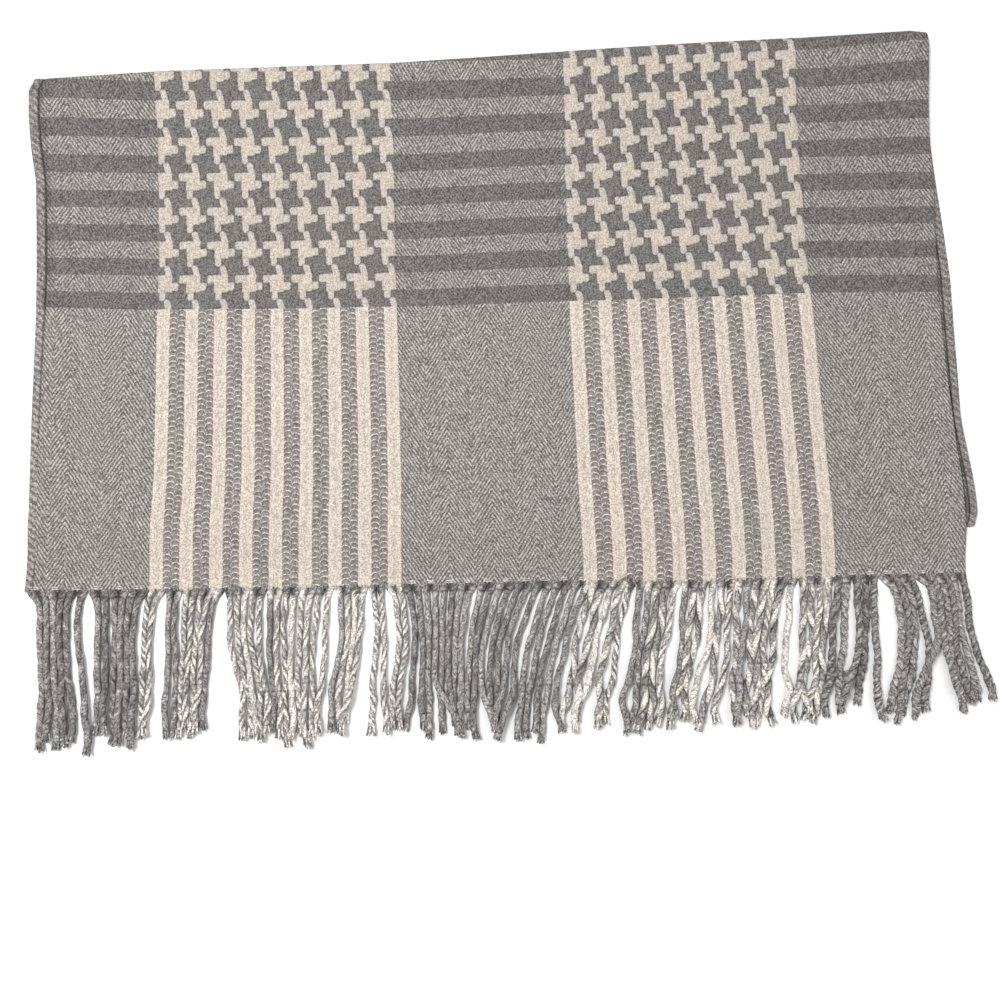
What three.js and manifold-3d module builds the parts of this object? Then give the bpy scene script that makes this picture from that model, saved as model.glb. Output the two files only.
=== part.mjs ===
// A woven pashmina shawl, folded in quarters and laid flat, with one fringed end on top.
// Millimetres. +X runs across the cloth, +Y from the fringe to the top fold, +Z up from the table.
import * as THREE from "three";
import { mergeVertices } from "three/addons/utils/BufferGeometryUtils.js";
import Module from "manifold-3d";

const wasm = await Module();
wasm.setup();

// Cloth
const WALL = 1.6;
const SEAM_GAP = 0.3;
const LAYERS_UNDER = 3;
const STACK_HEIGHT = LAYERS_UNDER * WALL + (LAYERS_UNDER - 1) * SEAM_GAP;
const PANEL_UNDERSIDE = STACK_HEIGHT + SEAM_GAP;
const PANEL_TOP = PANEL_UNDERSIDE + WALL;
const LAYER_GROOVE_DEPTH = 2.5;

// Rounded edge of one cloth layer: how far it lies in at each part of its thickness
const LAYER_EDGE = [
  { share: 0, setBack: 0.6 },
  { share: 0.22, setBack: 0 },
  { share: 0.78, setBack: 0 },
  { share: 1, setBack: 0.6 },
];

// Folds
const TOP_FOLD_RADIUS = PANEL_TOP / 2;
const TOP_FOLD_STEPS = 6;
const RETURN_LENGTH = 24;
const RETURN_STEPS = 2;
const INNER_FOLD_SET_BACK = 3;
const RETURN_CLEARANCE = 1;
const UNDER_FOLD_ABOVE_HEM = 33;
const HIDDEN_END_ABOVE_UNDER_FOLD = 20;
const SLOPE_START = 6;
const SLOPE_END = 52;

// Rows and columns of the surfaces. The panel has a row at each row of the SIDES table, and
// more rows beside the hem where it slopes down to the table.
const PANEL_COLUMNS = 24;
const PANEL_SLOPE_ROWS = [0.012, 0.035, 0.055, 0.105, 0.132];
const UNDER_COLUMNS = 16;
const UNDER_ROWS = 14;
const UNDER_ROWS_FROM = 0.03;
const UNDER_ROWS_TO = 0.97;

// Selvedge groove along the left edge
const SELVEDGE_WIDTH = 8.2;
const GROOVE_HALF_WIDTH = 1.1;
const GROOVE_DEPTH = 0.5;
const GROOVE_FADE_FROM = 0.2;
const GROOVE_FADE_TO = 0.45;

// Fringe
const CORD_WIDTH = 3.8;
const CORD_FLOOR_GAP = 0.4;
const CORD_CROSSING_LIFT = 4.8;
const CORD_CROSSING_HALF_LENGTH = 34;
const CORD_SMOOTHING = 10;
const CORD_STEPS = [0.07, 0.2, 0.36, 0.52, 0.68, 0.84, 1];
const CORD_LENGTH_SPREAD = 4;
const LENGTH_TURN_PER_CORD = 2.4;
const LENGTH_TURN_PER_BUNCH = 1.7;
const BACKING_DEPTH = 4;
const BACKING_THICKNESS = 1.4;
const BACKING_STEP = 22;
const CORD_ROOT_IN_BACKING = 2.2;
const CORD_ROOT_BELOW_BACKING_FACE = 0.1;
const NECK_DEPTH = 9;
const UPPER_LINE = -33;
const LOWER_LINE = -77;

// Points closer than this are one point when solids are joined
const JOIN_TOLERANCE = 1e-5;

// Plain colours
const TOP_CLOTH_GREY = 0xa8a09b;
const UNDER_CLOTH_GREY = 0x9c9590;
const CORD_GREY = 0x87827f;
const CORD_CREAM = 0xc8bdae;

// Sides of the top layer, by the part of the way from the hem to the top fold
const SIDES = [
  { up: 0, left: -350, right: 345.2 },
  { up: 0.08, left: -348.7, right: 345.4 },
  { up: 0.16, left: -348.5, right: 343.7 },
  { up: 0.24, left: -348.8, right: 339.7 },
  { up: 0.32, left: -349, right: 336.5 },
  { up: 0.42, left: -348.8, right: 332.4 },
  { up: 0.52, left: -348.6, right: 329.8 },
  { up: 0.62, left: -349.4, right: 329.4 },
  { up: 0.72, left: -351, right: 329.4 },
  { up: 0.8, left: -352.6, right: 327.4 },
  { up: 0.87, left: -356.6, right: 327.7 },
  { up: 0.93, left: -358.6, right: 328.8 },
  { up: 0.97, left: -360.8, right: 329.2 },
  { up: 1, left: -356.5, right: 328 },
];

// Hem and top fold, by the part of the way across from the left side
const ENDS = [
  { across: 0, hem: 2, fold: 394.5 },
  { across: 0.13, hem: 2.8, fold: 400.6 },
  { across: 0.4, hem: 6.5, fold: 407.5 },
  { across: 0.58, hem: 9.4, fold: 416.2 },
  { across: 0.72, hem: 9.8, fold: 422.5 },
  { across: 0.86, hem: 13, fold: 427.8 },
  { across: 0.97, hem: 15, fold: 431.6 },
  { across: 1, hem: 15.3, fold: 428.5 },
];

// Sides of the folded layers underneath, by the part of the way up from their lower fold
const UNDER_SIDES = [
  { up: 0, left: -345.5, right: 354.7 },
  { up: 0.04, left: -345.4, right: 354.7 },
  { up: 0.09, left: -345.3, right: 352.9 },
  { up: 0.15, left: -345.3, right: 349 },
  { up: 0.21, left: -345.3, right: 345.1 },
  { up: 0.39, left: -345.5, right: 341 },
  { up: 0.5, left: -345.5, right: 339.3 },
  { up: 0.77, left: -348.5, right: 329.5 },
  { up: 1, left: -352.5, right: 325.5 },
];
const LOWEST_LAYER_STANDS_OUT = 2.2;
const LOWEST_LAYER_FROM = 0.15;
const LOWEST_LAYER_TO = 0.8;
const SECOND_LAYER_SET_BACK = 2.5;
const UNDER_CORNER_RADIUS = 7;
const UNDER_CORNER_STEPS = 4;

// Five sections across the hem: plain, block, plain, block, plain
const FRINGE_SECTIONS = [
  { name: "fringe_grey_left", cords: 12, from: -350, to: -259.6, colour: CORD_GREY },
  { name: "fringe_mixed_left", cords: 30, from: -259.6, to: -72.7, colour: CORD_CREAM },
  { name: "fringe_grey_centre", cords: 19, from: -72.7, to: 61.3, colour: CORD_GREY },
  { name: "fringe_mixed_right", cords: 28, from: 61.3, to: 247.5, colour: CORD_CREAM },
  { name: "fringe_grey_right", cords: 15, from: 247.5, to: 345.2, colour: CORD_GREY },
];

// Bunches of cords from left to right. Just below the hem, at the neck, each cord has gone this
// part of its way to the first of two level lines. The first and last cord of each bunch cross
// the lines at these places, end this far below the hem and drift sideways on the way there. A
// crossing cord is lifted over its neighbours.
const BUNCHES = [
  { cords: 5, neck: 0.85, upper: [-338, -320], lower: [-335.5, -313.5], reach: 112, drift: 1 },
  { cords: 1, neck: 0.8, upper: [-311, -311], lower: [-302.5, -302.5], reach: 114, drift: 2 },
  { cords: 2, neck: 0.9, upper: [-296, -290], lower: [-294.5, -288.5], reach: 105, drift: -1 },
  { cords: 4, neck: 0.8, upper: [-283.5, -270], lower: [-283, -268], reach: 110, drift: 0 },
  { cords: 2, neck: 0.75, upper: [-262, -257.5], lower: [-261.5, -257], reach: 108, drift: -2 },
  { cords: 2, neck: 1, upper: [-244, -239.5], lower: [-244.5, -236], reach: 108, drift: -3 },
  { cords: 5, neck: 0.6, upper: [-233, -215], lower: [-233.5, -216], reach: 104, drift: -2 },
  { cords: 4, neck: 0.6, upper: [-198.5, -184], lower: [-187.5, -174.5], reach: 107, drift: 1 },
  { cords: 2, neck: 0.8, upper: [-178, -170], lower: [-170, -165.5], reach: 106, drift: 0 },
  { cords: 3, neck: 0.6, upper: [-165, -154], lower: [-161, -152], reach: 112, drift: 1 },
  { cords: 3, neck: 0.6, upper: [-148, -137], lower: [-147.5, -138.5], reach: 111, drift: 2 },
  { cords: 1, neck: 1, upper: [-128, -128], lower: [-132, -132], reach: 102, drift: -1 },
  { cords: 4, neck: 0.7, upper: [-116.5, -103], lower: [-124, -108], reach: 103, drift: 0 },
  { cords: 2, neck: 0.4, upper: [-90, -85.5], lower: [-94.5, -84.5], reach: 109, drift: 1 },
  { cords: 2, neck: 0.7, upper: [-74, -69], lower: [-78.5, -73.5], reach: 105, drift: -2 },
  { cords: 1, neck: 0.5, upper: [-62, -62], lower: [-65.5, -65.5], reach: 101, drift: -4 },
  { cords: 7, neck: 0.5, upper: [-57, -28.5], lower: [-57, -29], reach: 107, drift: 1 },
  { cords: 3, neck: 0.3, upper: [-22, -12.5], lower: [-24, -15], reach: 109, drift: 2 },
  { cords: 3, neck: 0.3, upper: [-6.5, 5], lower: [-8, 2], reach: 104, drift: 3 },
  {
    cords: 1, neck: 0.3, upper: [12.5, 12.5], lower: [8, 8], reach: 110, drift: -11, crossing: 100,
  },
  { cords: 4, neck: 0.3, upper: [21.5, 42], lower: [14, 32], reach: 112, drift: -1 },
  { cords: 1, neck: 0.2, upper: [47, 47], lower: [41, 41], reach: 103, drift: 1 },
  { cords: 5, neck: 0.35, upper: [56.5, 86], lower: [48.5, 79], reach: 106, drift: -2 },
  { cords: 5, neck: 0.4, upper: [99.5, 121.5], lower: [91, 115], reach: 107, drift: 0 },
  { cords: 3, neck: 0.4, upper: [134, 144], lower: [120, 134], reach: 103, drift: -3 },
  { cords: 3, neck: 0.4, upper: [154, 167], lower: [141, 160], reach: 105, drift: -4 },
  { cords: 4, neck: 0.4, upper: [173, 189], lower: [171.5, 185.5], reach: 103, drift: 1 },
  { cords: 2, neck: 0.4, upper: [194.5, 199.5], lower: [191, 196], reach: 108, drift: 0 },
  { cords: 1, neck: 0.5, upper: [210, 210], lower: [210, 210], reach: 96, drift: -5 },
  { cords: 4, neck: 0.4, upper: [223, 238.5], lower: [216, 231.5], reach: 102, drift: 0 },
  { cords: 1, neck: 0.2, upper: [244, 244], lower: [239, 239], reach: 97, drift: -2 },
  { cords: 1, neck: 0.3, upper: [252, 252], lower: [248, 248], reach: 95, drift: 1 },
  { cords: 2, neck: 0.5, upper: [264, 269.5], lower: [255, 260], reach: 95, drift: 3 },
  { cords: 1, neck: 0.5, upper: [275.5, 275.5], lower: [277, 277], reach: 101, drift: 2 },
  { cords: 3, neck: 0.6, upper: [297.5, 307], lower: [285.5, 295], reach: 103, drift: 0 },
  { cords: 1, neck: 0.35, upper: [315, 315], lower: [311, 311], reach: 95, drift: 1 },
  {
    cords: 1, neck: 0.9, upper: [321, 321], lower: [301.5, 301.5], reach: 102, drift: 1, crossing: 66,
  },
  { cords: 3, neck: 0.8, upper: [326, 335], lower: [330.5, 342], reach: 96, drift: 3 },
  { cords: 2, neck: 0.3, upper: [340, 347], lower: [351.5, 360.5], reach: 93, drift: 5 },
];

// Soft ridges where the top layer stands clear of the layers below, as lines across the panel
const RIDGES = [
  { fromX: -150, fromY: 330, toX: -60, toY: 120, width: 34, height: 0.7 },
  { fromX: 0, fromY: 380, toX: 40, toY: 90, width: 30, height: 0.9 },
  { fromX: 200, fromY: 360, toX: 240, toY: 110, width: 38, height: 0.8 },
  { fromX: -300, fromY: 300, toX: -290, toY: 90, width: 30, height: 0.6 },
  { fromX: 300, fromY: 250, toX: 320, toY: 80, width: 26, height: 0.6 },
];

// The value of one column of a table at a place between its rows.
function lookUp(table, key, at, column) {
  let row = 1;
  while (row < table.length - 1 && table[row][key] < at) row += 1;
  const before = table[row - 1];
  const after = table[row];
  const share = THREE.MathUtils.clamp((at - before[key]) / (after[key] - before[key]), 0, 1);
  return THREE.MathUtils.lerp(before[column], after[column], share);
}

function sharesOfLength(count) {
  return Array.from({ length: count + 1 }, (_, step) => step / count);
}

// The hem or the top fold at a place across the cloth.
function hemAt(x) {
  const { left, right } = SIDES[0];
  return lookUp(ENDS, "across", (x - left) / (right - left), "hem");
}

function foldAt(x) {
  const { left, right } = SIDES.at(-1);
  return lookUp(ENDS, "across", (x - left) / (right - left), "fold");
}

// A closed mesh from vertices and triangles, turned so that its faces point out.
function closedGeometry(vertices, triangles) {
  const geometry = new THREE.BufferGeometry();
  geometry.setAttribute("position", new THREE.Float32BufferAttribute(vertices.flat(), 3));
  geometry.setIndex(triangles.flat());
  if (signedVolume(vertices, triangles) < 0) {
    geometry.setIndex(triangles.map(([a, b, c]) => [a, c, b]).flat());
  }
  return geometry;
}

function signedVolume(vertices, triangles) {
  const [a, b, c] = [new THREE.Vector3(), new THREE.Vector3(), new THREE.Vector3()];
  return triangles.reduce((sum, [i, j, k]) => {
    a.fromArray(vertices[i]);
    b.fromArray(vertices[j]);
    c.fromArray(vertices[k]);
    return sum + a.dot(b.cross(c)) / 6;
  }, 0);
}

// A closed solid through rings of equal length, with both ends capped.
function loft(rings, capTriangles) {
  const around = rings[0].length;
  const triangles = [];
  for (let level = 0; level < rings.length - 1; level += 1) {
    for (let side = 0; side < around; side += 1) {
      const next = (side + 1) % around;
      const a = level * around + side;
      const b = level * around + next;
      triangles.push([a, b, b + around], [a, b + around, a + around]);
    }
  }
  const lastRing = (rings.length - 1) * around;
  for (const [i, j, k] of capTriangles) {
    triangles.push([i, k, j], [lastRing + i, lastRing + j, lastRing + k]);
  }
  return closedGeometry(rings.flat(), triangles);
}

function fanCap(around) {
  return Array.from({ length: around - 2 }, (_, side) => [0, side + 1, side + 2]);
}

// How far the top layer's underside stands above the table, from how far up it is from the hem.
function slopeHeight(aboveHem) {
  return PANEL_UNDERSIDE * THREE.MathUtils.smoothstep(aboveHem, SLOPE_START, SLOPE_END);
}

// Each ridge is a soft bump that dies out to both sides of its line and at both of its ends.
function ridgeHeight(x, y) {
  return RIDGES.reduce((sum, ridge) => {
    const along = new THREE.Vector2(ridge.toX - ridge.fromX, ridge.toY - ridge.fromY);
    const place = new THREE.Vector2(x - ridge.fromX, y - ridge.fromY);
    const share = place.dot(along) / along.lengthSq();
    if (share <= 0 || share >= 1) return sum;
    const away = Math.abs(place.cross(along)) / along.length() / ridge.width;
    const profile = away < 1 ? Math.cos((away * Math.PI) / 2) ** 2 : 0;
    return sum + ridge.height * profile * Math.sin(share * Math.PI);
  }, 0);
}

// Top panel: the layer that shows, its rounded top fold and a short return underneath.
function panelGeometry() {
  const upShares = [...SIDES.map(({ up }) => up), ...PANEL_SLOPE_ROWS].toSorted((a, b) => a - b);
  const grooveStart = SELVEDGE_WIDTH - GROOVE_HALF_WIDTH;
  const grooveEnd = SELVEDGE_WIDTH + GROOVE_HALF_WIDTH;
  const fromLeft = [0, grooveStart, SELVEDGE_WIDTH, grooveEnd];
  const plainColumns = sharesOfLength(PANEL_COLUMNS).slice(1);
  const columns = fromLeft.length + plainColumns.length;

  function placeAt(column, up) {
    const left = lookUp(SIDES, "up", up, "left");
    const right = lookUp(SIDES, "up", up, "right");
    const offset = fromLeft[column];
    const across = offset === undefined
      ? plainColumns[column - fromLeft.length]
      : offset / (right - left);
    const hem = lookUp(ENDS, "across", across, "hem");
    const flatEnd = lookUp(ENDS, "across", across, "fold") - TOP_FOLD_RADIUS;
    return {
      x: THREE.MathUtils.lerp(left, right, across),
      y: THREE.MathUtils.lerp(hem, flatEnd, up),
      hem,
    };
  }

  const outer = [];
  const inner = [];
  for (const up of upShares) {
    const grooveShare = THREE.MathUtils.smoothstep(up, GROOVE_FADE_FROM, GROOVE_FADE_TO);
    for (let column = 0; column < columns; column += 1) {
      const { x, y, hem } = placeAt(column, up);
      const underside = slopeHeight(y - hem) + ridgeHeight(x, y);
      const groove = column === fromLeft.indexOf(SELVEDGE_WIDTH) ? GROOVE_DEPTH * grooveShare : 0;
      outer.push([x, y, underside + WALL - groove]);
      inner.push([x, y, underside]);
    }
  }
  for (let step = 1; step <= TOP_FOLD_STEPS; step += 1) {
    const angle = (step / TOP_FOLD_STEPS) * Math.PI;
    const reach = Math.sin(angle);
    const rise = Math.cos(angle);
    for (let column = 0; column < columns; column += 1) {
      const { x, y } = placeAt(column, 1);
      const innerRadius = TOP_FOLD_RADIUS - WALL;
      outer.push([x, y + TOP_FOLD_RADIUS * reach, TOP_FOLD_RADIUS * (1 + rise)]);
      inner.push([x, y + innerRadius * reach, TOP_FOLD_RADIUS + innerRadius * rise]);
    }
  }
  for (const share of sharesOfLength(RETURN_STEPS).slice(1)) {
    for (let column = 0; column < columns; column += 1) {
      const { x, y } = placeAt(column, 1);
      outer.push([x, y - RETURN_LENGTH * share, 0]);
      inner.push([x, y - RETURN_LENGTH * share, WALL]);
    }
  }

  const rows = outer.length / columns;
  const innerStart = outer.length;
  const triangles = [];
  function quad(a, b, c, d) {
    triangles.push([a, b, c], [a, c, d]);
  }
  for (let row = 0; row < rows - 1; row += 1) {
    for (let column = 0; column < columns - 1; column += 1) {
      const a = row * columns + column;
      const d = a + columns;
      quad(a, a + 1, d + 1, d);
      quad(innerStart + a, innerStart + d, innerStart + d + 1, innerStart + a + 1);
    }
    const leftEdge = row * columns;
    const rightEdge = leftEdge + columns - 1;
    quad(leftEdge, leftEdge + columns, innerStart + leftEdge + columns, innerStart + leftEdge);
    quad(rightEdge + columns, rightEdge, innerStart + rightEdge, innerStart + rightEdge + columns);
  }
  const lastRow = (rows - 1) * columns;
  for (let column = 0; column < columns - 1; column += 1) {
    quad(column + 1, column, innerStart + column, innerStart + column + 1);
    const end = lastRow + column;
    quad(end, end + 1, innerStart + end + 1, innerStart + end);
  }
  return closedGeometry([...outer, ...inner], triangles);
}

// How far a round fold of one radius lies back from its tip at a height.
function foldSetBack(height, middle, radius) {
  return radius - Math.sqrt(Math.max(0, radius ** 2 - (height - middle) ** 2));
}

// The three layers underneath as one solid: a ring at each height, with rounded cloth edges,
// grooves between the layers at the sides, and a round fold at either end.
function underLayersGeometry() {
  const foldRadius = (2 * WALL + SEAM_GAP) / 2;
  const lowerFoldMiddle = foldRadius;
  const upperFoldMiddle = STACK_HEIGHT - foldRadius;
  const layerStep = WALL + SEAM_GAP;
  const returnSetBack = TOP_FOLD_RADIUS + RETURN_LENGTH + RETURN_CLEARANCE;
  const upperFoldSetBack = TOP_FOLD_RADIUS + INNER_FOLD_SET_BACK - foldRadius;

  const levels = [];
  for (let layer = 0; layer < LAYERS_UNDER; layer += 1) {
    for (const { share, setBack } of LAYER_EDGE) {
      levels.push({ z: layer * layerStep + share * WALL, layer, side: setBack });
    }
    if (layer < LAYERS_UNDER - 1) {
      levels.push({ z: (layer + 1) * layerStep - SEAM_GAP / 2, layer, side: LAYER_GROOVE_DEPTH });
    }
  }
  for (const level of levels) {
    const overLowerFold = level.z > 2 * foldRadius;
    level.bottom = overLowerFold
      ? HIDDEN_END_ABOVE_UNDER_FOLD + level.side
      : foldSetBack(level.z, lowerFoldMiddle, foldRadius);
    const besideReturn = level.z < layerStep;
    level.top = besideReturn
      ? returnSetBack + level.side
      : upperFoldSetBack + foldSetBack(level.z, upperFoldMiddle, foldRadius);
  }

  function rightSide(up, layer, y) {
    const second = lookUp(UNDER_SIDES, "up", up, "right");
    if (layer === LAYERS_UNDER - 1) {
      const panelUp = (y - ENDS.at(-1).hem) / (ENDS.at(-1).fold - ENDS.at(-1).hem);
      const panelRight = lookUp(SIDES, "up", panelUp, "right");
      return Math.min(second, panelRight - SECOND_LAYER_SET_BACK);
    }
    if (layer > 0) return second;
    const span = LOWEST_LAYER_TO - LOWEST_LAYER_FROM;
    const share = THREE.MathUtils.clamp((up - LOWEST_LAYER_FROM) / span, 0, 1);
    return second + LOWEST_LAYER_STANDS_OUT * Math.sin(share * Math.PI);
  }

  function ringAt({ z, layer, side, bottom, top }) {
    const radius = UNDER_CORNER_RADIUS;
    const bottomAt = (x) => hemAt(x) + UNDER_FOLD_ABOVE_HEM + bottom;
    const topAt = (x) => foldAt(x) - top;
    const edgeAt = (up, onRight) => {
      const rough = onRight ? SIDES[0].right : SIDES[0].left;
      const y = THREE.MathUtils.lerp(bottomAt(rough), topAt(rough), up);
      const x = onRight
        ? rightSide(up, layer, y) - side
        : lookUp(UNDER_SIDES, "up", up, "left") + side;
      return { x, y };
    };
    const corner = (up, onRight, fromAngle) => {
      const { x } = edgeAt(up, onRight);
      const centreX = onRight ? x - radius : x + radius;
      const centreY = up === 0 ? bottomAt(x) + radius : topAt(x) - radius;
      return sharesOfLength(UNDER_CORNER_STEPS).map((share) => {
        const angle = fromAngle + (share * Math.PI) / 2;
        return [centreX + radius * Math.cos(angle), centreY + radius * Math.sin(angle), z];
      });
    };
    const across = sharesOfLength(UNDER_COLUMNS).slice(1, -1);
    const upwards = sharesOfLength(UNDER_ROWS).slice(1, -1);
    const leftX = edgeAt(0, false).x + radius;
    const rightX = edgeAt(0, true).x - radius;
    const topLeftX = edgeAt(1, false).x + radius;
    const topRightX = edgeAt(1, true).x - radius;
    const lowerRun = across.map((share) => THREE.MathUtils.lerp(leftX, rightX, share));
    const upperRun = across.map((share) => THREE.MathUtils.lerp(topRightX, topLeftX, share));
    const sideUps = upwards.map(
      (share) => THREE.MathUtils.lerp(UNDER_ROWS_FROM, UNDER_ROWS_TO, share),
    );
    const sidePoint = (up, onRight) => {
      const { x, y } = edgeAt(up, onRight);
      return [x, y, z];
    };
    return [
      ...lowerRun.map((x) => [x, bottomAt(x), z]),
      ...corner(0, true, -Math.PI / 2),
      ...sideUps.map((up) => sidePoint(up, true)),
      ...corner(1, true, 0),
      ...upperRun.map((x) => [x, topAt(x), z]),
      ...corner(1, false, Math.PI / 2),
      ...sideUps.toReversed().map((up) => sidePoint(up, false)),
      ...corner(0, false, Math.PI),
    ];
  }

  const rings = levels.map(ringAt);
  const outline = rings[0].map(([x, y]) => new THREE.Vector2(x, y));
  return loft(rings, THREE.ShapeUtils.triangulateShape(outline, []));
}

// Every cord of the fringe, in order from the left, with its places at three levels.
function cordList() {
  const roots = FRINGE_SECTIONS.flatMap((section) => {
    const pitch = (section.to - section.from) / section.cords;
    return Array.from({ length: section.cords }, (_, cord) => section.from + pitch * (cord + 0.5));
  });
  const lows = BUNCHES.flatMap((bunch) =>
    Array.from({ length: bunch.cords }, (_, cord) => {
      const share = bunch.cords === 1 ? 0 : cord / (bunch.cords - 1);
      return {
        neck: bunch.neck,
        upper: THREE.MathUtils.lerp(...bunch.upper, share),
        lower: THREE.MathUtils.lerp(...bunch.lower, share),
        reach: bunch.reach + lengthChange(cord, bunch.cords),
        drift: bunch.drift,
        crossing: bunch.crossing,
      };
    }));
  return roots.map((root, index) => ({ root, ...lows[index] }));
}

// Cords of one bunch end a few millimetres apart.
function lengthChange(cord, cords) {
  return CORD_LENGTH_SPREAD * Math.sin(LENGTH_TURN_PER_CORD * cord + LENGTH_TURN_PER_BUNCH * cords);
}

// Sideways place of a cord at a level: straight runs between its places, rounded at each bend,
// less so near the hem.
function cordAcross(cord, y) {
  const hem = hemAt(cord.root);
  const tip = hem - cord.reach;
  const places = [
    { y: tip, x: cord.lower + cord.drift },
    { y: LOWER_LINE, x: cord.lower },
    { y: UPPER_LINE, x: cord.upper },
    { y: hem - NECK_DEPTH, x: THREE.MathUtils.lerp(cord.root, cord.upper, cord.neck) },
    { y: hem, x: cord.root },
  ];
  const smoothing = Math.min(CORD_SMOOTHING, (hem - y) / 2);
  const offsets = [-smoothing, 0, smoothing];
  const samples = offsets.map((offset) => lookUp(places, "y", y + offset, "x"));
  return samples.reduce((sum, x) => sum + x, 0) / samples.length;
}

// How far a crossing cord is lifted at a distance below the hem.
function crossingLift(cord, belowHem) {
  if (cord.crossing === undefined) return 0;
  const away = Math.abs(belowHem - cord.crossing) / CORD_CROSSING_HALF_LENGTH;
  return away < 1 ? CORD_CROSSING_LIFT * Math.sqrt(Math.cos((away * Math.PI) / 2)) : 0;
}

function cordCentreline(cord) {
  const hem = hemAt(cord.root);
  const restHeight = CORD_FLOOR_GAP + CORD_WIDTH / 2;
  const rootHeight = SEAM_GAP + BACKING_THICKNESS / 2;
  const points = [new THREE.Vector3(cord.root, hem - CORD_ROOT_IN_BACKING, rootHeight)];
  for (const share of CORD_STEPS) {
    const y = hem - CORD_ROOT_IN_BACKING - share * (cord.reach - CORD_ROOT_IN_BACKING);
    points.push(new THREE.Vector3(cordAcross(cord, y), y, restHeight + crossingLift(cord, hem - y)));
  }
  return points;
}

// A four-sided cord with flat sides, through a square at each point of its centreline.
function cordGeometry(points) {
  const half = CORD_WIDTH / 2;
  const rings = points.map((point, index) => {
    const before = points[Math.max(index - 1, 0)];
    const after = points[Math.min(index + 1, points.length - 1)];
    const direction = after.clone().sub(before).setZ(0).normalize();
    const sideways = new THREE.Vector3(-direction.y, direction.x, 0);
    const rootThickness = BACKING_THICKNESS / 2 - CORD_ROOT_BELOW_BACKING_FACE;
    const thickness = index === 0 ? rootThickness : half;
    return [[-1, -1], [1, -1], [1, 1], [-1, 1]].map(([across, up]) => [
      point.x + sideways.x * across * half,
      point.y + sideways.y * across * half,
      point.z + up * thickness,
    ]);
  });
  return loft(rings, fanCap(4));
}

// The narrow strip just below the hem that carries the roots of one section's cords.
function backingGeometry({ from, to }) {
  const start = from + SEAM_GAP / 2;
  const end = to - SEAM_GAP / 2;
  const steps = Math.ceil((end - start) / BACKING_STEP);
  const rings = sharesOfLength(steps).map((share) => {
    const x = THREE.MathUtils.lerp(start, end, share);
    const top = hemAt(x) - SEAM_GAP;
    const bottom = top - BACKING_DEPTH;
    return [
      [x, bottom, SEAM_GAP],
      [x, top, SEAM_GAP],
      [x, top, SEAM_GAP + BACKING_THICKNESS],
      [x, bottom, SEAM_GAP + BACKING_THICKNESS],
    ];
  });
  return loft(rings, fanCap(4));
}

function toManifold(geometry) {
  const merged = mergeVertices(geometry, JOIN_TOLERANCE);
  return new wasm.Manifold(new wasm.Mesh({
    numProp: 3,
    vertProperties: new Float32Array(merged.attributes.position.array),
    triVerts: new Uint32Array(merged.index.array),
  }));
}

function fromManifold(solid) {
  const { vertProperties, triVerts } = solid.getMesh();
  const geometry = new THREE.BufferGeometry();
  geometry.setAttribute("position", new THREE.BufferAttribute(vertProperties, 3));
  geometry.setIndex(new THREE.BufferAttribute(triVerts, 1));
  return geometry;
}

function clothMaterial(colour) {
  return new THREE.MeshStandardMaterial({ color: colour, roughness: 0.9, metalness: 0 });
}

function namedMesh(name, geometry, colour) {
  const mesh = new THREE.Mesh(geometry, clothMaterial(colour));
  mesh.name = name;
  return mesh;
}

const shawl = new THREE.Group();
shawl.add(namedMesh("top_panel", panelGeometry(), TOP_CLOTH_GREY));
shawl.add(namedMesh("under_layers", underLayersGeometry(), UNDER_CLOTH_GREY));

const cords = cordList();
let firstCord = 0;
for (const section of FRINGE_SECTIONS) {
  const sectionCords = cords.slice(firstCord, firstCord + section.cords);
  firstCord += section.cords;
  const joined = sectionCords.reduce(
    (solid, cord) => solid.add(toManifold(cordGeometry(cordCentreline(cord)))),
    toManifold(backingGeometry(section)),
  );
  shawl.add(namedMesh(section.name, fromManifold(joined), section.colour));
}

// The origin is the middle of the outline, on the table.
const bounds = new THREE.Box3().setFromObject(shawl);
const middle = bounds.getCenter(new THREE.Vector3());
shawl.position.set(-middle.x, -middle.y, -bounds.min.z);

export default shawl;
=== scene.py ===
"""A woven pashmina shawl, folded in quarters and laid flat, with one fringed end on top.

Lengths are millimetres on the table, as in the part's source, and turn into metres in the
row frame when a mesh is made. X runs across the cloth, Y from the fringe to the top fold.
"""

import math
from functools import partialmethod

import bpy
import numpy as np
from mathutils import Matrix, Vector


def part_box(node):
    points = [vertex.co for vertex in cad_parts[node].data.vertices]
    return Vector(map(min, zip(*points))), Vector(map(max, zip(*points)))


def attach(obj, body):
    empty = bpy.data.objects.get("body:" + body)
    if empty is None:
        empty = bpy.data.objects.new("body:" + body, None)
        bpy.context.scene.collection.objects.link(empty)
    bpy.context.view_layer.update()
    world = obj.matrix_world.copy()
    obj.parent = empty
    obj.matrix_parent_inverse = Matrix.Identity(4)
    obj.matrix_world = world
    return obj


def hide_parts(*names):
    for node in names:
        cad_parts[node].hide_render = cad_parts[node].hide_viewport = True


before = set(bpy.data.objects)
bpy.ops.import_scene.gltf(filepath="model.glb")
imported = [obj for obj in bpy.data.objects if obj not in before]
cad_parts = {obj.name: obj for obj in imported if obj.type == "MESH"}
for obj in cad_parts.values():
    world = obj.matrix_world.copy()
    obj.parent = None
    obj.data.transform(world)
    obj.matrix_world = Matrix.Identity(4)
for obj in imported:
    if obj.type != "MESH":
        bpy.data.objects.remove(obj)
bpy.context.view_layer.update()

MM = 0.001


def table(columns, *rows):
    """A table with named columns, as one array for each column."""
    return dict(zip(columns.split(), np.array(rows, dtype=float).T))


def rows_of(columns, *rows):
    """The rows of a table with named columns, as one dict for each row."""
    return [dict(zip(columns.split(), row)) for row in rows]


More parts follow.
